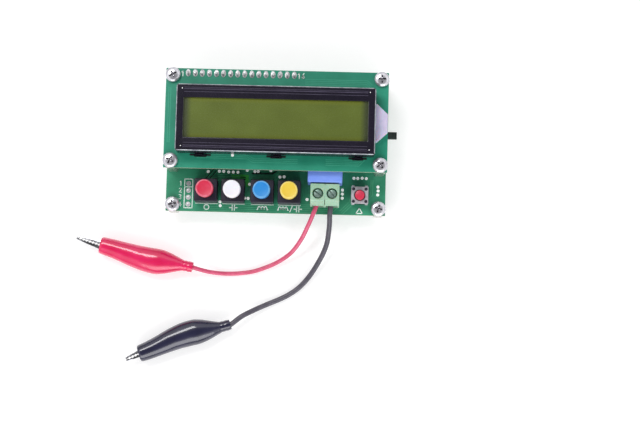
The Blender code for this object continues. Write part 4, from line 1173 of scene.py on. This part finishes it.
def controller():
    """The controller: a square flat pack with gull-wing leads on four sides."""
    low, high, centre, half = measured("controller_chip")
    size = half.x
    rows = [(0.25, low.z), (0.0, low.z + 0.55), (0.0, low.z + 0.7), (0.22, high.z)]
    bm = bmesh.new()
    add_loft(bm, inset_rings(Vector((size, size)), rows, 0.25, centre))
    spot = (centre.x - size + 1.3, centre.y + size - 1.3)
    add_turned(bm, [(0.5, high.z - 0.05), (0.5, high.z), (0.35, high.z)], 20, spot)
    paint(bm, 0)
    wing = [(-0.1, 0.55), (0.35, 0.55), (0.5, 0.18), (1.0, 0.18), (1.0, 0.02), (0.38, 0.02),
            (0.25, 0.4), (-0.1, 0.4)]
    wing = [(size + x, low.z - 0.28 + z) for x, z in wing]
    for quarter in range(4):
        legs = bmesh.new()
        for i in range(11):
            y = (i - 5) * 0.8
            add_prism(legs, wing, y - 0.17, y + 0.17, "XZY")
        join_mesh(bm, legs, turned_about(centre.xy, 90 * quarter))
    paint(bm, 1)
    seat_piece(mesh_object("controller_pack", bm, "chip pin", 25.0), "meter", "controller_chip")


def small_parts():
    """Ceramic chips with tinned ends between the boards, lengthways along X or Y."""
    bm = bmesh.new()
    along_x = [(-16, 9), (-16, 6), (-16, 3), (12.5, 6), (12.5, 3), (12.5, 0), (20, 9), (20, 6)]
    along_y = [(-12, 12.5), (-8.5, 12.5), (7, 12), (10.5, 12), (28, 12), (31.5, 12), (-6, -4.6),
               (-2, -4.6)]
    for places, long, body, end, shift in (
        (along_x, Vector((1, 0)), Vector((0.75, 0.62)), Vector((0.2, 0.62)), 0.86),
        (along_y, Vector((0, 1)), Vector((0.62, 0.75)), Vector((0.62, 0.2)), 0.86),
    ):
        for x, y in places:
            middle = Vector((BOARD_X + x, y))
            for size, away, base, top, edge, index in (
                (body, 0.0, 0.02, 0.6, 0.06, 0), (end, -shift, 0.0, 0.63, 0.08, 1),
                (end, shift, 0.0, 0.63, 0.08, 1),
            ):
                low, high = middle + long * away - size, middle + long * away + size
                add_block(bm, (*low, TOP + base), (*high, TOP + top), edge)
                paint(bm, index)
    seat_piece(mesh_object("small_parts", bm, "ceramic solder"))


# ---------------------------------------------------------------- leads and clips


def eased(before, first, second, after, t):
    """A point between the second and third of four, on a smooth curve through them."""
    return 0.5 * (2 * first + (second - before) * t
                  + (2 * before - 5 * first + 4 * second - after) * t**2
                  + (3 * first - before - 3 * second + after) * t**3)


def with_ends(points):
    """A row of points with one more at each end, straight on."""
    points = [Vector(point) for point in points]
    return [2 * points[0] - points[1], *points, 2 * points[-1] - points[-2]]


def lead(name):
    """A test lead, from its clamp to its clip."""
    curve = bpy.data.curves.new(f"{name}_test_lead", "CURVE")
    curve.dimensions = "3D"
    curve.bevel_depth = LEAD_RADIUS[name]
    curve.bevel_resolution = 5
    curve.use_fill_caps = True
    inside = boot_matrix(name) @ Vector(((1.1 - BOOT_LENGTH) * MM, 0, 0))
    ends = with_ends([*LEAD_ROUTES[name], inside])
    route = [eased(*four, i / 4)
             for four in zip(ends, ends[1:], ends[2:], ends[3:]) for i in range(4)]
    route.append(inside)
    spline = curve.splines.new("POLY")
    spline.points.add(len(route) - 1)
    for spot, point in zip(spline.points, route):
        spot.co = (*point, 1.0)
    spline.use_smooth = True
    curve.materials.append(FINISH[f"{name}_lead"])
    made = linked(f"{name}_test_lead", curve)
    return seat_piece(made, "meter", f"{name}_lead")


def section_at(distance):
    """Half width and half height of the boot, smooth along its length."""
    ends = with_ends(BOOT_SECTIONS)
    for four in zip(ends, ends[1:], ends[2:], ends[3:]):
        start, stop = four[1][0], four[2][0]
        if distance <= stop:
            return eased(*four, (distance - start) / (stop - start))[1:]
    return ends[-2][1:]


def boot_matrix(name):
    """Where the middle of a boot's mouth is, and which way it faces."""
    facts = CLIPS[name]
    return (Matrix.Translation(Vector((*facts["mouth"], BOOT_AXIS_HEIGHT)) * MM)
            @ Matrix.Rotation(math.radians(facts["turn"]), 4, "Z"))


def boot(name):
    """The soft boot: an oval sleeve with a lip at its mouth and a ribbed collar round the lead."""
    around, length_steps, bore_steps, bore_length = 48, 88, 25, 28.0

    def ring(distance, shrink):
        half_width, half_height = section_at(distance)
        if distance > BOOT_COLLAR:
            shrink += 0.06 - 0.06 * math.cos(2 * math.pi * (distance - BOOT_COLLAR) / 1.45)
        share = distance / BOOT_LENGTH
        side = CLIPS[name]["bulge"] * 0.5 * (1 - math.cos(2 * math.pi * share))
        points = []
        for i in range(around):
            angle = 2 * math.pi * i / around
            y, z = math.cos(angle), math.sin(angle)
            seam = 0.05 * math.exp(-((z / 0.12) ** 2))
            crease = 0.07 * noise.noise(Vector((distance * 0.22, y * 1.2, z * 1.2)))
            reach = -shrink - 0.05 + seam + crease * math.sin(math.pi * min(1, share))
            points.append((-distance, side + (half_width + reach) * y, (half_height + reach) * z))
        return points

    bore = LEAD_RADIUS[name] / MM + 0.12
    rings = [[(x - BOOT_LENGTH, *point.xy) for point in circle(radius, around)]
             for x, radius in ((1.2, bore), (0.1, bore), (0.0, 1.25 * bore))]
    for k in range(length_steps + 1):
        distance = BOOT_LENGTH * (1 - k / length_steps)
        mouth_lip = math.exp(-((distance / 0.35) ** 2))
        tail_lip = math.exp(-(((BOOT_LENGTH - distance) / 0.3) ** 2))
        rings.append(ring(distance, 0.22 * (mouth_lip + tail_lip)))
    for k in range(1, bore_steps + 1):
        distance = bore_length * k / bore_steps
        rings.append(ring(distance, BOOT_WALL - 0.1 * math.exp(-distance)))
    bm = bmesh.new()
    add_loft(bm, rings)
    matrix = boot_matrix(name)
    made = mesh_object(f"{name}_soft_boot", bm, f"{name}_boot", 60.0, matrix)
    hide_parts(f"{name}_boot")
    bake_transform(made)
    return made


def clip_matrix(name):
    """Where a clip's pivot is."""
    facts = CLIPS[name]
    skew = Matrix.Rotation(math.radians(facts["skew"]), 4, "Z")
    return boot_matrix(name) @ skew @ Matrix.Translation((-facts["depth"] * MM, 0, 0))


def jaw_section(x, back, edge, half_height, side):
    """A rounded channel section across a jaw."""
    def channel(back, height, corner, lift):
        row = [(edge, height), (back - corner, height), (back - 0.3 * corner, height - lift),
               (back - lift, height - 0.3 * corner), (back, height - corner)]
        return row + [(y, -z) for y, z in reversed(row)]

    corner = min(0.5, half_height - 1.1 * JAW_SHEET)
    outer = channel(back, half_height, corner, 0.06)
    inner = channel(back - JAW_SHEET, half_height - JAW_SHEET,
                    max(corner - 0.5 * JAW_SHEET, 0.08), 0.05)
    return [(x, side * y, z) for y, z in outer + [(y, -z) for y, z in inner]]


def jaw(name, piece_name, node, side, half_height, body):
    """One pressed jaw: a channel with a serrated mouth, a waist at the rivet and a handle."""
    slim = half_height / 1.75
    stations = [(x, back, edge, height * (slim if follows else 1))
                for x, back, edge, height, follows in JAW_STATIONS]

    def between(x):
        for first, second in zip(stations, stations[1:]):
            if x <= second[0]:
                t = (x - first[0]) / (second[0] - first[0])
                return [a + (b - a) * t for a, b in zip(first, second)]
        return list(stations[-1])

    rings = [list(station) for station in stations[:7]]
    for i in range(17):
        x, back, edge, height = between(2.6 + TOOTH_PITCH * i)
        depth = TOOTH_DEPTH * (i % 2) * min(1.0, (back - 0.45) / 0.6)
        rings.append([x, back, edge + depth, height])
    rings.append(stations[-1])
    bm = bmesh.new()
    add_loft(bm, [jaw_section(*ring, side) for ring in rings])
    made = mesh_object(piece_name, bm, "clip", 30.0)
    bore = bmesh.new()
    add_turned(bore, [(0.7, -3), (0.7, 3)], 24)
    carve(made, bore, 30.0)
    made.data.transform(clip_matrix(name))
    return seat_piece(made, body, node)


def clip_small_parts(name):
    """The rivet and the torsion spring inside the boot's mouth."""
    matrix = clip_matrix(name)
    half = [(0.5, 1.95), (0.95, 1.95), (0.93, 2.08), (0.7, 2.18), (0.2, 2.2)]
    bm = bmesh.new()
    add_turned(bm, [(radius, -z) for radius, z in reversed(half)] + half, 28)
    rivet = mesh_object(f"{name}_pin", bm, "clip", 40.0, matrix)
    seat_piece(rivet, "meter", f"{name}_rivet")

    wire, radius, turns, count, rise = 0.17, 0.95, 1.5, 48, 0.35
    path = [Vector((-6.5, -1.6, -rise)), Vector((-3.4, -1.4, -rise))]
    for i in range(count + 1):
        angle = math.radians(-90) + 2 * math.pi * turns * i / count
        x, y = radius * math.cos(angle), radius * math.sin(angle)
        path.append(Vector((x, y, rise * (2 * i / count - 1))))
    path += [Vector((-3.4, 1.4, rise)), Vector((-6.5, 1.6, rise))]
    rings = []
    for i, point in enumerate(path):
        along = (path[min(i + 1, len(path) - 1)] - path[max(i - 1, 0)]).normalized()
        side = along.cross(Vector((0, 0, 1))).normalized()
        up = side.cross(along)
        rings.append([point + wire * (p.x * side + p.y * up) for p in circle(1.0, 10)])
    bm = bmesh.new()
    add_loft(bm, rings)
    spring = mesh_object(f"{name}_coil", bm, "clip", 50.0, matrix)
    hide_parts(f"{name}_spring")
    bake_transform(spring)
    return [rivet, spring]


def test_leads():
    for name in CLIPS:
        cable = lead(name)
        on_it = [boot(name)]
        on_it.append(jaw(name, f"{name}_lower_jaw", f"{name}_jaw_fixed", -1, 1.75, "meter"))
        on_it.append(jaw(name, f"{name}_upper_jaw", f"{name}_jaw_moving", 1, 1.15, f"{name}_jaw"))
        on_it += clip_small_parts(name)


# ---------------------------------------------------------------- studio (metres)


def area_light(name, spot, target, size, power):
    light = bpy.data.lights.new(name, "AREA")
    light.shape = "RECTANGLE"
    light.size, light.size_y = size
    light.energy = power
    made = linked(name, light)
    made.location = spot
    made.rotation_euler = (Vector(target) - Vector(spot)).to_track_quat("-Z", "Y").to_euler()


def surround():
    """An even white ring, dark overhead and below, so that flat glossy faces stay dark."""
    world = bpy.data.worlds.new("surround")
    world.use_nodes = True
    background = world.node_tree.nodes["Background"]
    split = step(world, "SeparateXYZ", {"Vector": step(world, "TexCoord").outputs["Generated"]})
    levels = [(0.0, 0.12), (0.15, 0.3), (0.35, 1.0), (0.78, 1.3), (0.9, 0.2), (1.0, 0.08)]
    stops = [(position, (level, level, level * 1.01, 1.0)) for position, level in levels]
    plug(world, background.inputs["Color"], ramp(world, split.outputs["Z"], stops))
    background.inputs["Strength"].default_value = 0.8
    bpy.context.scene.world = world


def floor():
    """The pale floor that the meter stands on."""
    bm = bmesh.new()
    bmesh.ops.create_grid(bm, x_segments=8, y_segments=8, size=1.5)
    mesh = to_mesh("floor", bm, Matrix())
    white = started("floor_white", {"Roughness": 0.9, "Specular IOR Level": 0.1,
                                    "Emission Color": (1, 1, 1, 1), "Emission Strength": 0.42})
    stops = [(0.3, (0.7, 0.7, 0.7, 1)), (0.7, (0.72, 0.72, 0.72, 1))]
    drive(white, "Base Color", ramp(white, grain(white, 60.0), stops))
    mesh.materials.append(white)
    linked("floor", mesh)


def camera():
    made = linked("camera", bpy.data.cameras.new("camera"))
    made.location = (0.020736, -0.078286, 0.549459)
    made.rotation_euler = [math.radians(angle) for angle in (5.6464, 0.5085, 1.4740)]
    made.data.lens = 84.136
    made.data.sensor_width = 36.0
    bpy.context.scene.camera = made


def studio():
    surround()
    floor()
    area_light("rear_box", (-0.26, 0.34, 0.69), (-0.04, -0.05, 0), (0.42, 0.18), 2.2)
    area_light("front_box", (0.05, -0.75, 0.45), (-0.01, -0.03, 0), (0.9, 0.5), 4.0)
    bpy.context.scene.view_settings.view_transform = "Standard"
    camera()


def build():
    boards()
    display()
    hardware()
    for name, colour in SWITCHES.items():
        push_switch(name, colour)
    function_key()
    power_parts()
    terminal()
    relay()
    controller()
    small_parts()
    test_leads()
    studio()


build()
